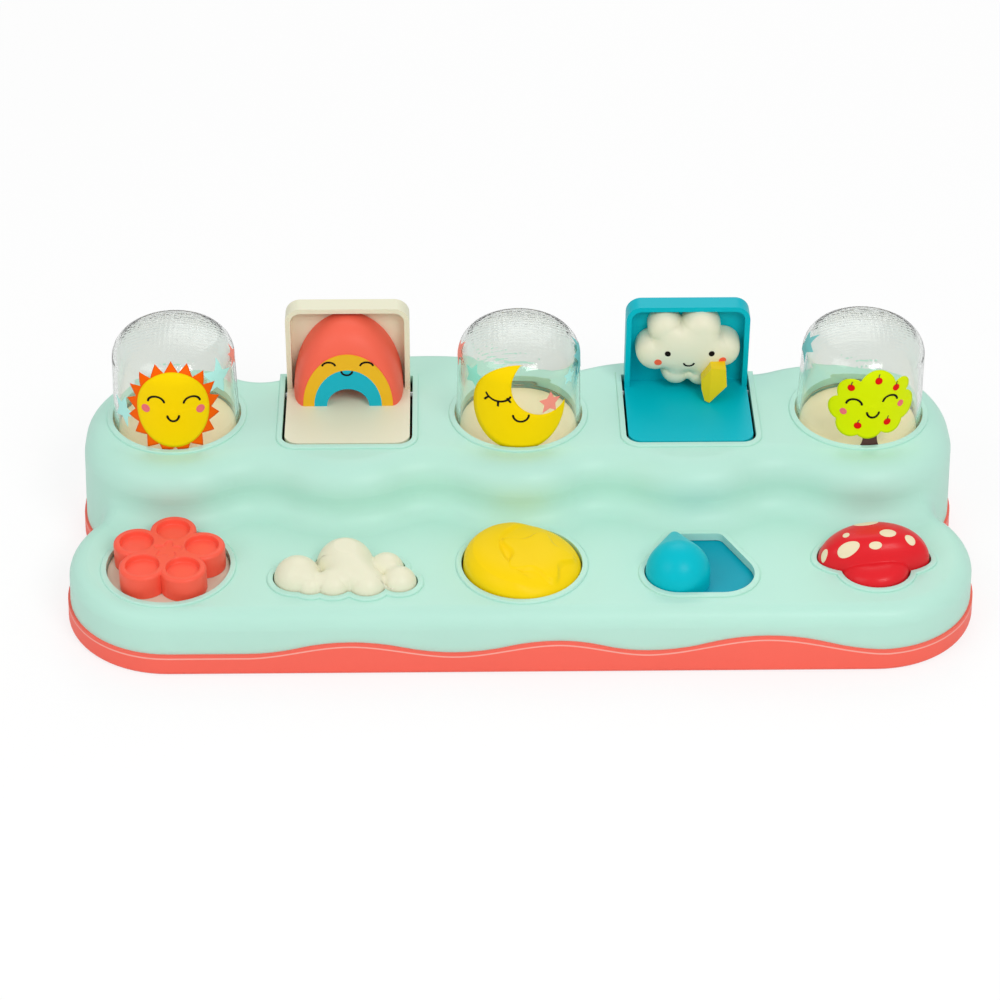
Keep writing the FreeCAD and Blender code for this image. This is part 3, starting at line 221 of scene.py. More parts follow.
def painted_highlight_below_seam(made, half):
    """Painted highlight 1.5 mm under the wavy seam: a lighter line that stands in for light caught on a small
    step of the tray. Eased steps between the seam's marks give its height over X.
    """
    tree = made.node_tree
    place = node(tree, "ShaderNodeTexCoord")
    parts = node(tree, "ShaderNodeSeparateXYZ")
    along = node(tree, "ShaderNodeMapRange")
    along.inputs["From Min"].default_value = -WAVE_SPAN * MM
    along.inputs["From Max"].default_value = WAVE_SPAN * MM
    wave = node(tree, "ShaderNodeValToRGB")
    wave.color_ramp.interpolation = "EASE"
    stops = wave.color_ramp.elements
    places = [(x + WAVE_SPAN) / (2 * WAVE_SPAN) for x, rise in WAVE_MARKS]
    stops[0].position = places[0]
    stops[1].position = places[-1]
    for place_along in places[1:-1]:
        stops.new(place_along)
    for stop, (x, rise) in zip(stops, WAVE_MARKS):
        stop.color = (rise / WAVE_FULL, rise / WAVE_FULL, rise / WAVE_FULL, 1)
    level = node(tree, "ShaderNodeMath", operation="MULTIPLY_ADD")
    level.inputs[1].default_value = WAVE_FULL * MM
    level.inputs[2].default_value = (WAVE_LOW - HIGHLIGHT_BELOW) * MM
    away = node(tree, "ShaderNodeMath", operation="SUBTRACT")
    size = node(tree, "ShaderNodeMath", operation="ABSOLUTE")
    highlight_mask = node(tree, "ShaderNodeMapRange")
    highlight_mask.inputs["From Min"].default_value = half * 0.5
    highlight_mask.inputs["From Max"].default_value = half * 1.5
    highlight_mask.inputs["To Min"].default_value = 0.6
    highlight_mask.inputs["To Max"].default_value = 0
    # Painted highlight: the coral lightened towards FFD2C4 along the line
    tint = node(tree, "ShaderNodeMix", data_type="RGBA")
    tint.inputs["B"].default_value = linear("FFD2C4")
    shader = tree.nodes["Principled BSDF"]
    colour = shader.inputs["Base Color"].links[0].from_socket
    link = tree.links.new
    link(place.outputs["Object"], parts.inputs["Vector"])
    link(parts.outputs["X"], along.inputs["Value"])
    link(along.outputs["Result"], wave.inputs["Fac"])
    link(wave.outputs["Color"], level.inputs[0])
    link(parts.outputs["Z"], away.inputs[0])
    link(level.outputs[0], away.inputs[1])
    link(away.outputs[0], size.inputs[0])
    link(size.outputs[0], highlight_mask.inputs["Value"])
    link(highlight_mask.outputs["Result"], tint.inputs["Factor"])
    link(colour, tint.inputs["A"])
    link(tint.outputs["Result"], shader.inputs["Base Color"])
    return made


def clear_plastic():
    """Clear dome plastic with a fine knurl pressed into the crown."""
    made = bpy.data.materials.new("clear plastic")
    made.use_nodes = True
    tree = made.node_tree
    shader = tree.nodes["Principled BSDF"]
    shader.inputs["Base Color"].default_value = (0.935, 0.965, 0.94, 1)
    shader.inputs["Roughness"].default_value = 0.03
    shader.inputs["IOR"].default_value = 1.25
    shader.inputs["Transmission Weight"].default_value = 1
    shader.inputs["Coat Weight"].default_value = 0.3
    shader.inputs["Coat Roughness"].default_value = 0.06
    through = node(tree, "ShaderNodeBsdfTransparent")
    through.inputs["Color"].default_value = (0.95, 0.97, 0.96, 1)
    path = node(tree, "ShaderNodeLightPath")
    either = node(tree, "ShaderNodeMath", operation="MAXIMUM")
    pass_on = node(tree, "ShaderNodeMixShader")
    tree.links.new(path.outputs["Is Shadow Ray"], either.inputs[0])
    tree.links.new(path.outputs["Is Diffuse Ray"], either.inputs[1])
    tree.links.new(either.outputs[0], pass_on.inputs["Fac"])
    tree.links.new(shader.outputs[0], pass_on.inputs[1])
    tree.links.new(through.outputs[0], pass_on.inputs[2])
    tree.links.new(pass_on.outputs[0], tree.nodes["Material Output"].inputs["Surface"])
    place = node(tree, "ShaderNodeTexCoord")
    cells = node(tree, "ShaderNodeTexVoronoi")
    cells.inputs["Scale"].default_value = 560
    cells.inputs["Randomness"].default_value = 0.25
    parts = node(tree, "ShaderNodeSeparateXYZ")
    crown = node(tree, "ShaderNodeMapRange")
    crown.inputs["From Min"].default_value = 0.0815
    crown.inputs["From Max"].default_value = 0.0835
    both = node(tree, "ShaderNodeMath", operation="MULTIPLY")
    relief = node(tree, "ShaderNodeBump")
    relief.inputs["Strength"].default_value = 0.5
    relief.inputs["Distance"].default_value = 0.0005
    link = tree.links.new
    link(place.outputs["Object"], cells.inputs["Vector"])
    link(place.outputs["Object"], parts.inputs["Vector"])
    link(parts.outputs["Z"], crown.inputs["Value"])
    link(cells.outputs["Distance"], both.inputs[0])
    link(crown.outputs["Result"], both.inputs[1])
    link(both.outputs[0], relief.inputs["Height"])
    link(relief.outputs["Normal"], shader.inputs["Normal"])
    return made


def steel():
    """Bright spring wire with a fine grain."""
    made = plastic("zinc plated steel", (0.62, 0.63, 0.65, 1), gloss=0.24, drift=0.1, grain=2500, bump=0.1)
    made.node_tree.nodes["Principled BSDF"].inputs["Metallic"].default_value = 1
    return made


def dress(name, finish):
    """Give a CAD node its finish."""
    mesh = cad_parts[name].data
    mesh.materials.clear()
    mesh.materials.append(finish)


# Surfaces

def sheet_mesh(name, front, lift, finish, body):
    """Closed thin layer: a grid of points with outward directions, and the same grid sunk by a little.

    front(lift) gives the grid, rows by columns by xyz in millimetres.
    """
    top = front(lift)
    low = front(lift - PRINT_THICK)
    rows, cols = top.shape[:2]
    points = np.concatenate([top.reshape(-1, 3), low.reshape(-1, 3)]) * MM
    index = np.arange(rows * cols).reshape(rows, cols)
    quads = np.stack([index[:-1, :-1], index[:-1, 1:], index[1:, 1:], index[1:, :-1]], -1).reshape(-1, 4)
    under = quads[:, ::-1] + rows * cols
    ring = np.concatenate([index[0, :-1], index[:-1, -1], index[-1, :0:-1], index[:0:-1, 0]])
    after = np.roll(ring, -1)
    walls = np.stack([ring, ring + rows * cols, after + rows * cols, after], -1)
    faces = np.concatenate([quads, under, walls])
    mesh = bpy.data.meshes.new(name)
    mesh.from_pydata(points.tolist(), [], faces.tolist())
    made = bpy.data.objects.new(name, mesh)
    bpy.context.scene.collection.objects.link(made)
    return settle(made, finish, body)


def settle(made, finish, body):
    """Merge doubled points, turn the faces outwards, shade smooth and let it ride."""
    work = bmesh.new()
    work.from_mesh(made.data)
    bmesh.ops.remove_doubles(work, verts=work.verts, dist=1e-6)
    bmesh.ops.recalc_face_normals(work, faces=work.faces)
    work.to_mesh(made.data)
    work.free()
    made.data.polygons.foreach_set("use_smooth", np.ones(len(made.data.polygons), bool))
    made.data.materials.append(finish)
    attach(made, body)
    return made


def on_dome(station, u, v, lift):
    """Wrap a flat picture on the dome: u is arc length from the front, v is height up to the shoulder,
    and from there arc length over the shoulder's round."""
    over = np.clip((v - SHOULDER_Z) / SHOULDER_R, 0, 1.2)
    side = DOME_FOOT_R - (v - DOME_FOOT_Z) * DOME_DRAFT
    r = np.where(v < SHOULDER_Z, side, SHOULDER_IN + SHOULDER_R * np.cos(over)) + lift * np.cos(over)
    z = np.where(v < SHOULDER_Z, v, SHOULDER_Z + SHOULDER_R * np.sin(over)) + lift * np.sin(over)
    turn = u / PRINT_R
    return np.stack([station + r * np.sin(turn), BACK_ROW - r * np.cos(turn), z + 0 * u], -1)


def star_edge(count, outer, inner, turn):
    """Distance from the middle to a star's straight-sided edge, against the angle."""
    def edge(a):
        half = math.pi / count
        b = np.abs((a - turn + half) % (2 * half) - half)
        px, py = outer, 0.0
        qx, qy = inner * math.cos(half), inner * math.sin(half)
        return (px * qy - py * qx) / (np.cos(b) * (qy - py) - np.sin(b) * (qx - px))
    return edge


def lobed_edge(lobes, cx, cy):
    """Distance from the middle to the outside of a bunch of circles."""
    def edge(a):
        far = np.zeros_like(a)
        for x, y, r in lobes:
            along = (x - cx) * np.cos(a) + (y - cy) * np.sin(a)
            across = (y - cy) * np.cos(a) - (x - cx) * np.sin(a)
            room = r * r - across ** 2
            far = np.maximum(far, np.where(room > 0, along + np.sqrt(np.maximum(room, 0)), 0))
        return far
    return edge


def patch(cx, cy, edge, around=144, out=16):
    """Disc-like picture: rings from the middle out to edge(angle)."""
    a = np.linspace(0, 2 * np.pi, around + 1)[None, :]
    t = np.linspace(0, 1, out)[:, None]
    r = t * edge(a)
    return cx + r * np.cos(a), cy + r * np.sin(a)


def arc_stroke(cx, cy, rx, ry, start, end, width, count=30):
    """Line of even width along part of an ellipse, with round ends."""
    s = np.linspace(-0.12, 1.12, count)
    a = np.radians(start + (end - start) * np.clip(s, 0, 1))
    half = width / 2 * np.sqrt(np.clip(1 - (np.clip(np.abs(s - 0.5) - 0.5, 0, 1) / 0.121) ** 2, 0, 1))
    x = cx + rx * np.cos(a)
    y = cy + ry * np.sin(a)
    tx = -rx * np.sin(a)
    ty = ry * np.cos(a)
    size = np.hypot(tx, ty)
    sign = 1 if end > start else -1
    over = np.sign(s - 0.5) * np.clip(np.abs(s - 0.5) - 0.5, 0, 1) / 0.12 * width / 2 * sign
    x = x + tx / size * over
    y = y + ty / size * over
    t = np.linspace(-1, 1, 3)[:, None]
    return x + t * half * ty / size, y - t * half * tx / size


def disc(r):
    """Edge of a round disc."""
    return lambda a: np.full_like(a, r)


# Every finish by its short name, filled by the first operator
FINISH = {}


def print_on_dome(name, figure, picture, colour, layer):
    """One colour of a print on a dome."""
    station = STATIONS[figure]
    u, v = picture
    lift = PRINT_LIFT + LAYER_STEP * layer
    sheet_mesh(name, lambda out: on_dome(station, u, v, out), lift, FINISH[colour], figure + "_pop")


class TOY_OT_finishes(bpy.types.Operator):
    """Give every moulded piece its plastic"""
    bl_idname = "toy.finishes"
    bl_label = "Finishes"

    def execute(self, context):
        c = context.scene.toy_colours
        FINISH["mint"] = plastic("mint plastic", c.mint, gloss=0.36, drift=0.03, bump=0.03, soft=0.12)
        # The coral finish carries a painted highlight line under the wavy seam
        FINISH["coral"] = painted_highlight_below_seam(plastic("coral plastic", c.coral, gloss=0.38, drift=0.04),
                                          context.scene.toy_sizes.tray_highlight_half)
        FINISH["cream"] = plastic("cream plastic", c.cream, gloss=0.36, drift=0.03, soft=0.1)
        FINISH["platform"] = plastic("platform plastic", c.platform, gloss=0.36, drift=0.03, soft=0.1)
        # Dial disc: its own beige, made darker and greyer as painted shade for the shade under the flower's
        # petals
        FINISH["disc"] = plastic("dial disc plastic with painted shade", linear("DCD4BE"), gloss=0.4, drift=0.03)
        FINISH["teal"] = plastic("teal plastic", c.teal, gloss=0.3, drift=0.05, shine=0.12)
        # Raindrop plate: the teal darkened as painted shade, a shaded copy of the teal for the flat plate
        # below the deck
        FINISH["plate"] = plastic("plate teal with painted shade", linear("00A2B8"), gloss=0.34, drift=0.05, shine=0.12)
        FINISH["arch"] = plastic("arch rubber", c.arch, gloss=0.45, drift=0.05)
        FINISH["band_yellow"] = plastic("yellow band rubber", c.band_yellow, gloss=0.45)
        FINISH["band_teal"] = plastic("teal band rubber", c.band_teal, gloss=0.45)
        FINISH["bolt"] = plastic("bolt plastic", c.bolt, gloss=0.28, shine=0.2)
        FINISH["moon"] = plastic("moon plastic", c.moon, gloss=0.4, drift=0.05, shine=0.14)
        FINISH["mushroom"] = plastic("mushroom plastic", c.mushroom, gloss=0.3, drift=0.06, coat=0.1,
                                     shine=0.15)
        FINISH["flower"] = plastic("flower plastic", c.flower, gloss=0.36, drift=0.05)
        FINISH["works"] = plastic("latch plastic", (0.75, 0.75, 0.72, 1), gloss=0.45)
        FINISH["clear"] = clear_plastic()
        FINISH["steel"] = steel()
        for key, colour in (("sun", c.sun), ("ray", c.ray), ("leaf", c.leaf)):
            FINISH[key] = plastic(key + " ink", colour, gloss=0.42, drift=0.02, bump=0.02, shine=0.06)
        inks = {"black": "16100E", "cheek": "F0757A", "pink": "FF9A8A", "aqua": "BCF6EE",
                "mintstar": "98E6D0", "tealstar": "7CC8C8", "fruit": "E61408", "trunk": "5A3F3A",
                "spot": "F3E4C0", "blush": "FF6A48"}
        for key, hexa in inks.items():
            FINISH[key] = plastic(key + " ink", linear(hexa), gloss=0.42, drift=0.02, bump=0.02, shine=0.08)
        dressed = {
            "mint": ("upper_housing",), "coral": ("base_tray",),
            "cream": ("rainbow_lid", "cloud_figure", "cloud_button"),
            # The dial disc's finish holds painted shade
            "platform": ("sun_platform", "moon_platform", "tree_platform"), "disc": ("flower_disc",),
            # The raindrop plate's finish is the teal with painted shade
            "teal": ("cloud_lid", "raindrop_knob"), "plate": ("raindrop_plate",),
            "arch": ("rainbow_arch",), "band_yellow": ("rainbow_yellow_band",),
            "band_teal": ("rainbow_teal_band",), "bolt": ("lightning_bolt",), "moon": ("moon_rocker",),
            "mushroom": ("mushroom_rocker",), "flower": ("flower_dial",),
            "clear": ("sun_dome", "moon_dome", "tree_dome"),
            "works": ("dial_crank", "sun_latch", "moon_latch", "tree_latch", "rainbow_lever", "cloud_lever"),
        }
        named = {n: key for key, names in dressed.items() for n in names}
        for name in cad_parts:
            dress(name, FINISH[named.get(name, "steel")])
        return {"FINISHED"}


class TOY_OT_sun(bpy.types.Operator):
    """Print the sun and its stars on the first dome"""
    bl_idname = "toy.sun"
    bl_label = "Sun print"

    def execute(self, context):
        w = context.scene.toy_sizes.stroke / MM
        cx, cy = 0.9, 65.8
        for i, (u, v, r, colour) in enumerate(((-21.5, 60.5, 7.2, "aqua"), (20.5, 75.0, 8.2, "aqua"),
                                               (34.0, 77.5, 5.0, "pink"))):
            print_on_dome("sun_star_%d" % i, "sun", patch(u, v, star_edge(5, r, r * 0.45, 1.3)), colour, 0)
        tips = star_edge(17, 19.6, 15.4, 1.57)
        rays = patch(cx, cy, lambda a: np.minimum(tips(a) * (1 + 0.05 * np.sin(a) ** 2),
                                                  (cy - 48.2) / np.maximum(-np.sin(a), 1e-3)), 408)
        print_on_dome("sun_rays", "sun", rays, "ray", 1)
        face = patch(cx, cy, lambda a: 14.4 + 1.8 * np.sin(a) ** 2)
        print_on_dome("sun_disc", "sun", face, "sun", 2)
        for i, (u, v) in enumerate(((-9.7, 66.0), (11.5, 65.2))):
            print_on_dome("sun_cheek_%d" % i, "sun", patch(u, v, disc(1.75)), "cheek", 3)
        lines = ((-5.4, 69.2, 3.2, 170, 10), (8.3, 68.7, 3.2, 170, 10), (0.9, 64.0, 2.2, 190, 350))
        for i, (u, v, r, a, b) in enumerate(lines):
            print_on_dome("sun_line_%d" % i, "sun", arc_stroke(u, v, r, 2.7, a, b, w), "black", 4)
        return {"FINISHED"}


class TOY_OT_moon(bpy.types.Operator):
    """Print the sleeping moon and its stars on the middle dome"""
    bl_idname = "toy.moon"
    bl_label = "Moon print"

    def execute(self, context):
        w = context.scene.toy_sizes.stroke / MM
        for i, (u, v, r, colour) in enumerate(((-20.2, 75.6, 5.4, "mintstar"), (-35.0, 78.0, 5.5, "pink"),
                                               (35.0, 76.0, 8.5, "tealstar"), (22.0, 74.0, 3.6, "aqua"))):
            print_on_dome("moon_star_%d" % i, "moon", patch(u, v, star_edge(5, r, r * 0.5, 1.4)), colour, 0)
        a = np.radians(np.linspace(85, 360, 80))
        outer = np.stack([-0.3 + 19.4 * np.cos(a), 65.6 + 18.3 * np.sin(a)], -1)
        outer[:, 1] = np.maximum(outer[:, 1], 47.9)
        b = np.radians(np.linspace(135, 303, 80))
        inner = np.stack([10.2 + 13.6 * np.cos(b), 75.0 + 12.8 * np.sin(b)], -1)
        inner[0] = outer[0]
        inner[-1] = outer[-1]
        t = np.linspace(0, 1, 9)[:, None, None]
        grid = outer * (1 - t) + inner * t
        print_on_dome("moon_crescent", "moon", (grid[..., 0], grid[..., 1]), "sun", 1)
        print_on_dome("moon_star_top", "moon", patch(11.9, 66.7, star_edge(5, 5.0, 2.5, 1.5)), "pink", 2)
        print_on_dome("moon_eye", "moon", arc_stroke(-8.6, 72.2, 5.2, 3.9, 200, 340, w), "black", 2)
        for i, (u, v, lean) in enumerate(((-13.4, 68.6, 225), (-8.5, 67.3, 270), (-4.3, 69.4, 310))):
            du, dv = 1.2 * math.cos(math.radians(lean)), 1.2 * math.sin(math.radians(lean))
            s = np.linspace(-1, 1, 6)
            t = np.linspace(-1, 1, 3)[:, None] * w / 2 / 1.2
            print_on_dome("moon_lash_%d" % i, "moon", (u + s * du - t * dv, v + s * dv + t * du), "black", 3)
        print_on_dome("moon_smile", "moon", arc_stroke(0.35, 63.0, 3.0, 2.9, 185, 355, w), "black", 2)
        return {"FINISHED"}


class TOY_OT_tree(bpy.types.Operator):
    """Print the apple tree on the last dome"""
    bl_idname = "toy.tree"
    bl_label = "Tree print"

    def execute(self, context):
        w = context.scene.toy_sizes.stroke / MM
        print_on_dome("tree_star", "tree", patch(-35.0, 80.0, star_edge(5, 7.2, 3.2, 1.4)), "tealstar", 0)
        s = np.linspace(0, 1, 12)
        t = np.linspace(-1, 1, 6)[:, None]
        half = 2.6 + 0.9 * (1 - s) ** 3
        print_on_dome("tree_trunk", "tree", (1.5 + t * half, 48.4 + s * 6 + 0 * t), "trunk", 0)
        lobes = ((-10.6, 64.0, 5.3), (-6.6, 71.6, 6.0), (3.2, 74.0, 7.3), (13.3, 73.2, 3.7),
                 (13.6, 64.4, 6.3), (9.0, 58.3, 5.2), (0.6, 57.4, 5.9), (-6.6, 57.6, 5.5),
                 (1.0, 66.0, 9.0), (8.0, 68.0, 8.0))
        print_on_dome("tree_crown", "tree", patch(1.5, 66.0, lobed_edge(lobes, 1.5, 66.0), 288), "leaf", 1)
        for i, (u, v) in enumerate(((-7.1, 73.7), (3.3, 77.0), (10.7, 73.0), (-3.5, 57.3), (7.8, 58.4))):
            print_on_dome("tree_apple_%d" % i, "tree", patch(u, v, disc(1.45)), "fruit", 2)
            print_on_dome("tree_stalk_%d" % i, "tree", arc_stroke(u + 0.5, v + 1.2, 0.5, 1.3, 180, 100, 0.35),
                          "trunk", 3)
        for i, (u, v) in enumerate(((-9.4, 62.8), (13.2, 65.2))):
            print_on_dome("tree_cheek_%d" % i, "tree", patch(u, v, disc(1.4)), "cheek", 2)
        lines = ((-5.5, 66.3, 3.0, 170, 10), (8.5, 67.5, 3.0, 170, 10), (1.9, 63.6, 2.3, 190, 350))
        for i, (u, v, r, a, b) in enumerate(lines):
            print_on_dome("tree_line_%d" % i, "tree", arc_stroke(u, v, r, 2.6, a, b, w), "black", 3)
        return {"FINISHED"}


CLOUD_LOBES = ((-9.0, 27.4, 6.7), (4.8, 26.7, 8.0), (13.3, 18.0, 7.3), (-12.5, 17.2, 7.7),
               (-4.2, 8.5, 6.0), (5.3, 7.8, 6.0), (-3.0, 19.5, 10.5), (5.5, 18.5, 10.0))
CLOUD_Y = 48.35
CLOUD_HIGH = 10.5
CLOUD_SOFT = 1.7
CLOUD_PRESS = 5.5


def on_cloud(u, v, lift):
    """Lay a flat picture on the cloud's soft front."""
    y = CLOUD_Y - pillow(CLOUD_LOBES, u, v)
    return np.stack([STATIONS["cloud"] + u + 0 * v, y - lift, TERRACE + v + 0 * u], -1)


def on_front(station, y):
    """Lay a flat picture on an upright face."""
    def lay(u, v, lift):
        u, v = np.broadcast_arrays(u, v)
        return np.stack([station + u, np.full(u.shape, y - lift), TERRACE + v], -1)
    return lay


def soft_top(lobes, u, v, soft):
    """Smooth outer skin of a bunch of balls: the softened largest of their heights over the plane."""
    total = np.zeros(u.shape)
    for x, y, r in lobes:
        inside = np.maximum(r * r - (u - x) ** 2 - (v - y) ** 2, 0)
        total = total + np.expm1(np.sqrt(inside) / soft)
    return soft * np.log1p(total)


def pillow(lobes, u, v):
    """Soft skin of a bunch of balls, pressed flatter towards its highest level by an exponential."""
    full = 1 - math.exp(-CLOUD_HIGH / CLOUD_PRESS)
    return CLOUD_HIGH * (1 - np.exp(-soft_top(lobes, u, v, CLOUD_SOFT) / CLOUD_PRESS)) / full


def skin(name, middle, edge, height, place, skirt, finish, body, node_name, around=360, rings=70):
    """Raised form: rings from its middle out to its edge, lifted to height(u, v) and closed underneath.

    place(u, v, h) puts a point of the plane and its height into the toy; skirt is how far the sides go down.
    """
    cx, cy = middle
    u, v = patch(cx, cy, edge, around, 2)
    edge_u, edge_v = u[1], v[1]
    t = np.sin(np.linspace(0, np.pi / 2, rings))[:, None]
    u = cx + (edge_u - cx) * t
    v = cy + (edge_v - cy) * t
    h = height(u, v)
    h[-1] = 0
    h[:, -1] = h[:, 0]
    low = -np.linspace(0.5, skirt, 4)[:, None] + 0 * edge_u[None, :]
    u = np.concatenate([u, np.repeat(edge_u[None], 4, 0), np.full((1, u.shape[1]), cx)])
    v = np.concatenate([v, np.repeat(edge_v[None], 4, 0), np.full((1, v.shape[1]), cy)])
    h = np.concatenate([h, low, np.full((1, h.shape[1]), -skirt)])
    grid = place(u, v, h) * MM
    rows, cols = grid.shape[:2]
    index = np.arange(rows * cols).reshape(rows, cols)
    quads = np.stack([index[:-1, :-1], index[:-1, 1:], index[1:, 1:], index[1:, :-1]], -1).reshape(-1, 4)
    mesh = bpy.data.meshes.new(name)
    mesh.from_pydata(grid.reshape(-1, 3).tolist(), [], quads.tolist())
    made = bpy.data.objects.new(name, mesh)
    bpy.context.scene.collection.objects.link(made)
    settle(made, finish, body)
    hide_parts(node_name)
    return made


def middle_of(lobes):
    """Mean of the middles of a bunch of balls."""
    return np.mean([q[0] for q in lobes]), np.mean([q[1] for q in lobes])


BUTTON_SOFT = 1.4
BUTTON_HIGH = 10.0
BUTTON_LOBES = ((-17.5, -8.2, 8.8), (-12.5, -13.2, 5.5), (-4.2, -12.8, 6.6), (8.3, -13.0, 6.9),
                (20.3, -11.2, 6.4), (15.4, -3.0, 6.6), (0.0, -0.7, 10.8), (3.0, -8.0, 9.0))


class TOY_OT_clouds(bpy.types.Operator):
    """Puff up the cloud button and the cloud on the door"""
    bl_idname = "toy.clouds"
    bl_label = "Clouds"

    def execute(self, context):
        middle = middle_of(BUTTON_LOBES)
        skin("cloud_button_skin", middle, lobed_edge(BUTTON_LOBES, *middle),
             lambda u, v: np.minimum(soft_top(BUTTON_LOBES, u, v, BUTTON_SOFT), BUTTON_HIGH),
             lambda u, v, h: np.stack([STATIONS["rainbow"] + u, FRONT_ROW + v, DECK + h], -1), 4.6,
             FINISH["cream"], "cloud_push", "cloud_button")
        middle = middle_of(CLOUD_LOBES)
        skin("cloud_figure_skin", middle, lobed_edge(CLOUD_LOBES, *middle),
             lambda u, v: pillow(CLOUD_LOBES, u, v),
             lambda u, v, h: np.stack([STATIONS["cloud"] + u, CLOUD_Y - h, TERRACE + v], -1), 2.2,
             FINISH["cream"], "cloud_door", "cloud_figure")
        return {"FINISHED"}


class TOY_OT_faces(bpy.types.Operator):
    """Paint the faces of the rainbow and the cloud"""
    bl_idname = "toy.faces"
    bl_label = "Door faces"

    def execute(self, context):
        w = context.scene.toy_sizes.stroke / MM
        flat = on_front(STATIONS["rainbow"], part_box("rainbow_yellow_band")[0].y / MM)
        for i, (u, v, rx, a, b) in enumerate(((-7.1, 18.3, 2.5, 165, 15), (7.5, 18.3, 2.5, 165, 15),
                                              (-0.2, 16.2, 2.1, 190, 350))):
            sheet_mesh("rainbow_line_%d" % i,
                       lambda lift, p=arc_stroke(u, v, rx, 1.9, a, b, w): flat(p[0], p[1], lift), 0.06,
                       FINISH["black"], "rainbow_door")
        marks = (("eye_0", patch(-8.1, 20.0, disc(1.15), 48), "black"),
                 ("eye_1", patch(8.9, 20.0, disc(1.15), 48), "black"),
                 ("cheek_0", patch(-11.7, 15.6, disc(1.45), 48), "blush"),
                 ("cheek_1", patch(13.3, 16.4, disc(1.45), 48), "blush"),
                 ("smile", arc_stroke(0.2, 16.0, 2.0, 1.6, 195, 345, w * 0.9), "black"))
        for name, (u, v), colour in marks:
            sheet_mesh("cloud_" + name, lambda lift, u=u, v=v: on_cloud(u, v, lift), 0.12, FINISH[colour],
                       "cloud_door")
        return {"FINISHED"}


def tilted(station, degrees, u, v, h):
    """Put a point of a rocker into the toy, h above the deck, leaning about the rocker's pin."""
    turn = math.radians(degrees)
    z = h + ROCKER_DROP
    x = u * math.cos(turn) + z * math.sin(turn)
    z = -u * math.sin(turn) + z * math.cos(turn)
    return np.stack([STATIONS[station] + x, FRONT_ROW + v, DECK - ROCKER_DROP + z], -1)


PETAL_TURN = math.radians(84)
PETAL_REACH = 12.9
PETAL_R = 8.7
PETALS = [(PETAL_REACH * math.cos(PETAL_TURN + i * math.tau / 5),
           PETAL_REACH * math.sin(PETAL_TURN + i * math.tau / 5), PETAL_R) for i in range(5)]
HEART = (0.0, 0.0, 11.2)
EDGE_ROUND = 1.3
PETAL_TOP = 8.0
DISH_R = 6.1
DISH_DEPTH = 2.2


class TOY_OT_flower(bpy.types.Operator):
    """Mould the flower: five petals in one level, each with a round dish"""
    bl_idname = "toy.flower"
    bl_label = "Flower"

    def execute(self, context):
        def height(u, v):
            """Level top, dropped by a smooth step in each dish and rounded at the outer edge."""
            h = np.full(u.shape, PETAL_TOP)
            for x, y, r in PETALS:
                away = np.hypot(u - x, v - y)
                step = np.clip((DISH_R + 0.35 - away) / 0.7, 0, 1)
                h = h - DISH_DEPTH * step * step * (3 - 2 * step)
            star = 4.6 + 1.2 * np.cos(5 * (np.arctan2(v, u) - PETAL_TURN))
            heart = np.clip((star - np.hypot(u, v)) / 0.8, 0, 1)
            h = h - 0.5 * heart * heart * (3 - 2 * heart)
            inside = np.full(u.shape, -PETAL_R)
            for x, y, r in PETALS + [HEART]:
                inside = np.maximum(inside, r - np.hypot(u - x, v - y))
            near = np.clip(1 - inside / EDGE_ROUND, 0, 1)
            return h - EDGE_ROUND * (1 - np.sqrt(np.maximum(1 - near ** 2, 0)))
        skin("flower_skin", (0, 0), lobed_edge(PETALS + [HEART], 0, 0), height,
             lambda u, v, h: np.stack([STATIONS["sun"] + u, FRONT_ROW + v, DECK + h], -1), 1.45,
             FINISH["flower"], "flower", "flower_dial", around=480, rings=120)
        return {"FINISHED"}


MOON_R = 22.2
MOON_RISE = 7.0
MOON_LEAN = 7.0
MUSHROOM_LEAN = -6.0
RELIEF = 1.3
STAR_MIDDLE = (4.4, -2.6)
STAR_TURN = math.radians(8)
BITE = (8.0, 1.0, 17.0)


class TOY_OT_moon_button(bpy.types.Operator):
    """Mould the moon rocker: a puffy cap with a soft star and a crescent round it"""
    bl_idname = "toy.moon_button"
    bl_label = "Moon button"

    def execute(self, context):
        def height(u, v):
            """Flat-topped cap from a power of the radius, lifted by a soft star and a soft crescent."""
            r = np.hypot(u, v) / MOON_R
            cap = MOON_RISE * np.sqrt(np.maximum(1 - r ** 3.2, 0))
            x, y = u - STAR_MIDDLE[0], v - STAR_MIDDLE[1]
            way = np.arctan2(y, x) - STAR_TURN
            edge = 12.1 + 2.5 * np.cos(5 * way) + 0.4 * np.cos(10 * way)
            star = np.clip((edge - np.hypot(x, y)) / 2.4 + 0.4, 0, 1)
            bite = np.clip((np.hypot(u - BITE[0], v - BITE[1]) - BITE[2]) / 2.2 + 0.3, 0, 1)
            bite = bite * np.clip((4 - u) / 9, 0, 1)
            fade = np.clip((1 - r) / 0.12, 0, 1)
            rise = np.maximum(star * star * (3 - 2 * star), 0.8 * bite * bite * (3 - 2 * bite))
            return cap + RELIEF * rise * fade
        skin("moon_button_skin", (0, 0), disc(MOON_R), height,
             lambda u, v, h: tilted("moon", MOON_LEAN, u, v, h), 4.5,
             FINISH["moon"], "moon_rock", "moon_rocker", rings=110)
        return {"FINISHED"}



# Mushroom: half width, depth behind and in front and rise of the cap; half width, depth and rise of the stalk
CAP = (21.0, 16.0, 9.0, 12.6)
CAP_BACK = 0.8
STALK = (12.5, 11.0, 5.2)
STALK_Y = -6.5
BLEND = 0.35


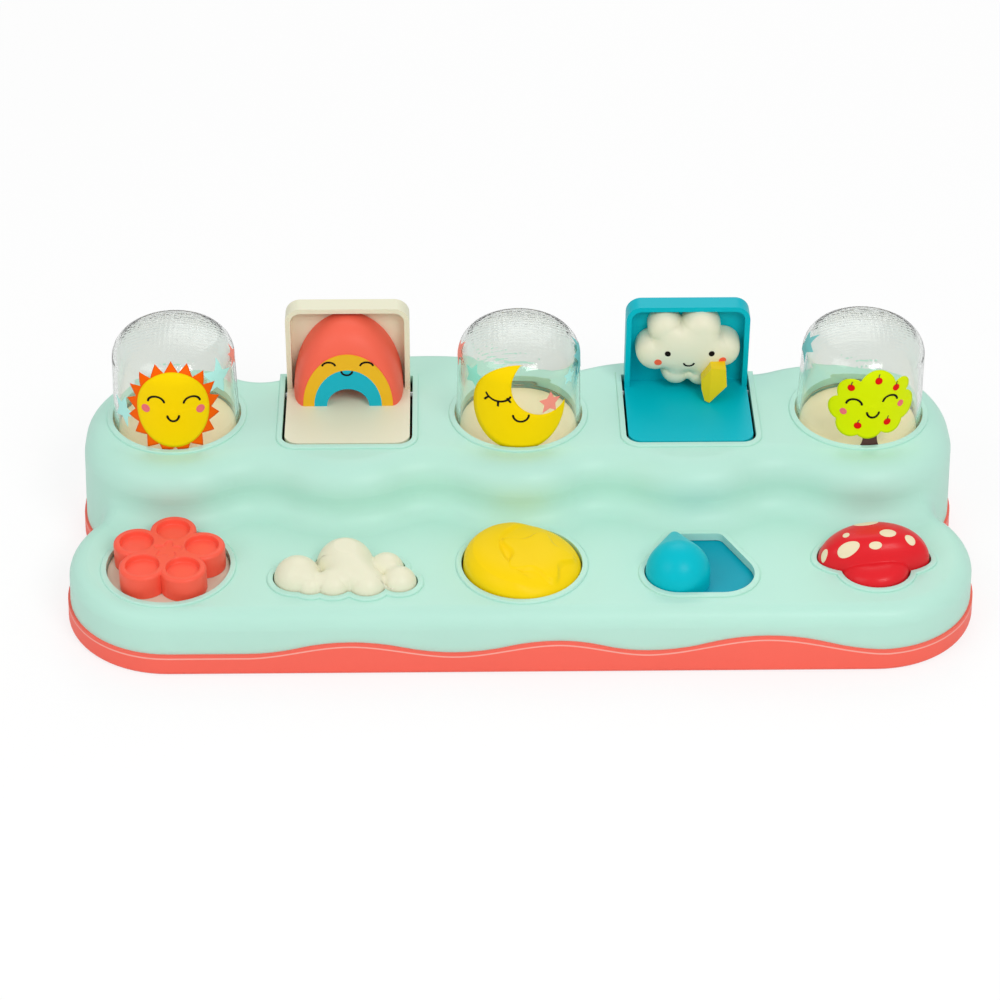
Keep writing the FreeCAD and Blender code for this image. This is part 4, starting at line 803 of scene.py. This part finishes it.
def mushroom_edge(a):
    """Outline of the cap, half ellipses behind and in front, with the stalk's ellipse in front."""
    wide, back, front, high = CAP
    c, s = np.cos(a), np.sin(a)
    cap = 1 / np.sqrt((c / wide) ** 2 + (s / np.where(s > 0, back, front)) ** 2)
    p = (c / STALK[0]) ** 2 + (s / STALK[1]) ** 2
    q = -STALK_Y * s / STALK[1] ** 2
    room = np.maximum(q * q - p * ((STALK_Y / STALK[1]) ** 2 - 1), 0)
    return np.maximum(cap, (-q + np.sqrt(room)) / p)


def mushroom_height(u, v):
    """Higher of the cap's and the stalk's rounds, softened where they meet."""
    wide, back, front, high = CAP
    q = (u / wide) ** 2 + (v / np.where(v > 0, back, front)) ** 2
    cap = high * np.maximum(1 - q ** 1.25, 0) ** 0.5
    p = (u / STALK[0]) ** 2 + ((v - STALK_Y) / STALK[1]) ** 2
    stalk = STALK[2] * np.maximum(1 - p ** 1.5, 0) ** 0.5
    return BLEND * np.log(np.exp(cap / BLEND) + np.exp(stalk / BLEND) - 1)


class TOY_OT_mushroom(bpy.types.Operator):
    """Mould the mushroom and paint its spots"""
    bl_idname = "toy.mushroom"
    bl_label = "Mushroom"

    def execute(self, context):
        skin("mushroom_skin", (0, 0), mushroom_edge, mushroom_height,
             lambda u, v, h: tilted("tree", MUSHROOM_LEAN, u, v + CAP_BACK, h), 4.5,
             FINISH["mushroom"], "mushroom_rock", "mushroom_rocker", rings=90)
        spots = ((-9.3, -4.4, 4.2, 2.0), (-9.5, 1.6, 1.3, 1.5), (-1.3, 9.0, 4.6, 3.0), (5.9, -0.2, 3.1, 2.2),
                 (13.9, -2.0, 1.9, 1.9), (0.7, -5.2, 2.4, 1.1), (-18.2, -1.9, 1.3, 1.6))
        for i, (u, v, a, b) in enumerate(spots):
            grid = patch(0, 0, disc(1.0), 48)
            x, y = u + a * grid[0], v + b * grid[1]
            sheet_mesh("mushroom_spot_%d" % i,
                       lambda lift, x=x, y=y: tilted("tree", MUSHROOM_LEAN, x, y + CAP_BACK,
                                                     mushroom_height(x, y) + lift),
                       PRINT_LIFT, FINISH["spot"], "mushroom_rock")
        return {"FINISHED"}


# Coils
COIL_STEPS = 28
END_TURN = 0.75
DOME_SPRING = {"low": 2.0, "high": 41.3, "r_low": 17.0, "r_high": 10.0, "wire": 1.5, "turns": 8}


def coil(name, x, y, low, high, r_low, r_high, wire, turns, joint=None):
    """Wire swept round the Z axis with closed end turns; it stands for the CAD node of the same place."""
    steps = int(turns * COIL_STEPS)
    s = np.linspace(0, 1, steps + 1)[:, None]
    climb = np.clip((s * turns - END_TURN) / (turns - 2 * END_TURN), 0, 1)
    turn = 2 * np.pi * turns * s
    r = r_low + (r_high - r_low) * climb
    z = low + wire / 2 + (high - low - wire) * climb
    b = np.linspace(0, 2 * np.pi, 11)[None, :-1]
    ring = r + wire / 2 * np.cos(b)
    grid = np.stack([x + ring * np.cos(turn), y + ring * np.sin(turn), z + wire / 2 * np.sin(b)], -1) * MM
    rows, cols = grid.shape[:2]
    index = np.arange(rows * cols).reshape(rows, cols)
    nxt = np.roll(index, -1, 1)
    quads = np.stack([index[:-1], index[1:], nxt[1:], nxt[:-1]], -1).reshape(-1, 4).tolist()
    mesh = bpy.data.meshes.new(name + "_coil")
    mesh.from_pydata(grid.reshape(-1, 3).tolist(), [], quads + [index[0].tolist(), index[-1][::-1].tolist()])
    made = bpy.data.objects.new(name + "_coil", mesh)
    bpy.context.scene.collection.objects.link(made)
    settle(made, FINISH["steel"], "root")
    if joint:
        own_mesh(made)
    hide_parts(name)
    return made


class TOY_OT_coils(bpy.types.Operator):
    """Wind the coils under the domes and the button"""
    bl_idname = "toy.coils"
    bl_label = "Coils"

    def execute(self, context):
        for name in ("sun", "moon", "tree"):
            coil(name + "_dome_spring", STATIONS[name], BACK_ROW, joint=name + "_pop", **DOME_SPRING)
        low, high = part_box("dial_spring")
        coil("dial_spring", STATIONS["sun"], FRONT_ROW, low.z / MM, high.z / MM, 4.3, 4.3, 1.1, 4)
        return {"FINISHED"}


# Stage: half width of the floor in metres; the camera's place from the toy's middle, its angles and its lens
FLOOR_HALF = 3.0
FLOOR_POINTS = 9
VIEW_ABOVE = math.radians(35.467)
VIEW_ASIDE = math.radians(-1.174)
VIEW_ROLL = math.radians(0.316)
VIEW_MIDDLE = Vector((0, -1.55, -4.0))
VIEW_RIGHT = -7.525
VIEW_UP = 25.535
VIEW_AWAY = 1249.195
LENS = 115.4835
SENSOR = 36
LAMPS = (("key", (0.5, -0.95, 1.1), 0.55, 7.5), ("fill", (-0.8, -0.6, 0.9), 0.7, 3.0),
         ("rim", (0.1, 1.0, 1.0), 0.8, 3.5))
LAMPS_AIM = Vector((0, 0, 0.03))


class TOY_OT_stage(bpy.types.Operator):
    """Lay the floor, hang the lamps and set the camera"""
    bl_idname = "toy.stage"
    bl_label = "Stage"

    def execute(self, context):
        scene = context.scene
        scene.view_settings.view_transform = "Standard"
        s = np.linspace(-1, 1, FLOOR_POINTS) * FLOOR_HALF
        x, y = np.meshgrid(s, s)
        points = np.stack([x, y, np.full(x.shape, -0.0001)], -1)
        index = np.arange(FLOOR_POINTS ** 2).reshape(FLOOR_POINTS, FLOOR_POINTS)
        quads = np.stack([index[:-1, :-1], index[:-1, 1:], index[1:, 1:], index[1:, :-1]], -1).reshape(-1, 4)
        mesh = bpy.data.meshes.new("floor")
        mesh.from_pydata(points.reshape(-1, 3).tolist(), [], quads.tolist())
        floor = bpy.data.objects.new("floor", mesh)
        scene.collection.objects.link(floor)
        made = bpy.data.materials.new("pale floor")
        made.use_nodes = True
        tree = made.node_tree
        tree.nodes.clear()
        out = node(tree, "ShaderNodeOutputMaterial")
        path = node(tree, "ShaderNodeLightPath")
        dull = node(tree, "ShaderNodeBsdfDiffuse")
        dull.inputs["Color"].default_value = (0.86, 0.86, 0.86, 1)
        white = node(tree, "ShaderNodeEmission")
        mix = node(tree, "ShaderNodeMixShader")
        share = node(tree, "ShaderNodeMath", operation="MULTIPLY")
        share.inputs[1].default_value = 0.72
        link = tree.links.new
        link(path.outputs["Is Camera Ray"], share.inputs[0])
        link(share.outputs[0], mix.inputs["Fac"])
        link(dull.outputs[0], mix.inputs[1])
        link(white.outputs[0], mix.inputs[2])
        link(mix.outputs[0], out.inputs["Surface"])
        white.inputs["Strength"].default_value = 1.06
        floor.data.materials.append(made)
        world = bpy.data.worlds.new("studio")
        scene.world = world
        world.use_nodes = True
        tree = world.node_tree
        tree.nodes.clear()
        out = node(tree, "ShaderNodeOutputWorld")
        path = node(tree, "ShaderNodeLightPath")
        seen = node(tree, "ShaderNodeMath", operation="MAXIMUM")
        lit = node(tree, "ShaderNodeBackground")
        lit.inputs["Strength"].default_value = 0.68
        plain = node(tree, "ShaderNodeBackground")
        mix = node(tree, "ShaderNodeMixShader")
        link = tree.links.new
        link(path.outputs["Is Camera Ray"], seen.inputs[0])
        link(path.outputs["Is Transmission Ray"], seen.inputs[1])
        link(seen.outputs[0], mix.inputs["Fac"])
        link(lit.outputs[0], mix.inputs[1])
        link(plain.outputs[0], mix.inputs[2])
        link(mix.outputs[0], out.inputs["Surface"])
        for name, place, size, power in LAMPS:
            lamp = bpy.data.lights.new(name, "AREA")
            lamp.shape = "SQUARE"
            lamp.size = size
            lamp.energy = power
            holder = bpy.data.objects.new(name, lamp)
            scene.collection.objects.link(holder)
            holder.location = place
            holder.rotation_euler = (LAMPS_AIM - Vector(place)).to_track_quat("-Z", "Y").to_euler()
        level = math.cos(VIEW_ABOVE)
        back = Vector((math.sin(VIEW_ASIDE) * level, -math.cos(VIEW_ASIDE) * level, math.sin(VIEW_ABOVE)))
        right = Vector((math.cos(VIEW_ASIDE), math.sin(VIEW_ASIDE), 0))
        up = back.cross(right)
        place = (right * VIEW_RIGHT + up * VIEW_UP + back * VIEW_AWAY + VIEW_MIDDLE) * MM
        side = right * math.cos(VIEW_ROLL) + up * math.sin(VIEW_ROLL)
        top = up * math.cos(VIEW_ROLL) - right * math.sin(VIEW_ROLL)
        eye = bpy.data.cameras.new("camera")
        eye.sensor_width = SENSOR
        eye.lens = LENS
        holder = bpy.data.objects.new("camera", eye)
        scene.collection.objects.link(holder)
        turn = Matrix((side, top, back)).transposed().to_4x4()
        holder.matrix_world = Matrix.Translation(place) @ turn
        scene.camera = holder
        return {"FINISHED"}


STEPS = (TOY_OT_finishes, TOY_OT_sun, TOY_OT_moon, TOY_OT_tree, TOY_OT_clouds, TOY_OT_faces, TOY_OT_flower,
         TOY_OT_moon_button, TOY_OT_mushroom, TOY_OT_coils, TOY_OT_stage)


class TOY_PT_panel(bpy.types.Panel):
    """Buttons for each group of pieces"""
    bl_label = "Pop up toy"
    bl_idname = "TOY_PT_panel"
    bl_space_type = "VIEW_3D"
    bl_region_type = "UI"
    bl_category = "Pop up toy"

    def draw(self, context):
        for step in STEPS:
            self.layout.operator(step.bl_idname)
        for group in (context.scene.toy_colours, context.scene.toy_sizes):
            for key in group.__annotations__:
                self.layout.prop(group, key)


CLASSES = (ToyColours, ToySizes) + STEPS + (TOY_PT_panel,)


def register():
    for cls in CLASSES:
        bpy.utils.register_class(cls)
    bpy.types.Scene.toy_colours = bpy.props.PointerProperty(type=ToyColours)
    bpy.types.Scene.toy_sizes = bpy.props.PointerProperty(type=ToySizes)


def unregister():
    del bpy.types.Scene.toy_sizes
    del bpy.types.Scene.toy_colours
    for cls in reversed(CLASSES):
        bpy.utils.unregister_class(cls)


def main():
    register()
    bpy.ops.toy.finishes()
    bpy.ops.toy.sun()
    bpy.ops.toy.moon()
    bpy.ops.toy.tree()
    bpy.ops.toy.clouds()
    bpy.ops.toy.faces()
    bpy.ops.toy.flower()
    bpy.ops.toy.moon_button()
    bpy.ops.toy.mushroom()
    bpy.ops.toy.coils()
    bpy.ops.toy.stage()


if __name__ == "__main__":
    main()
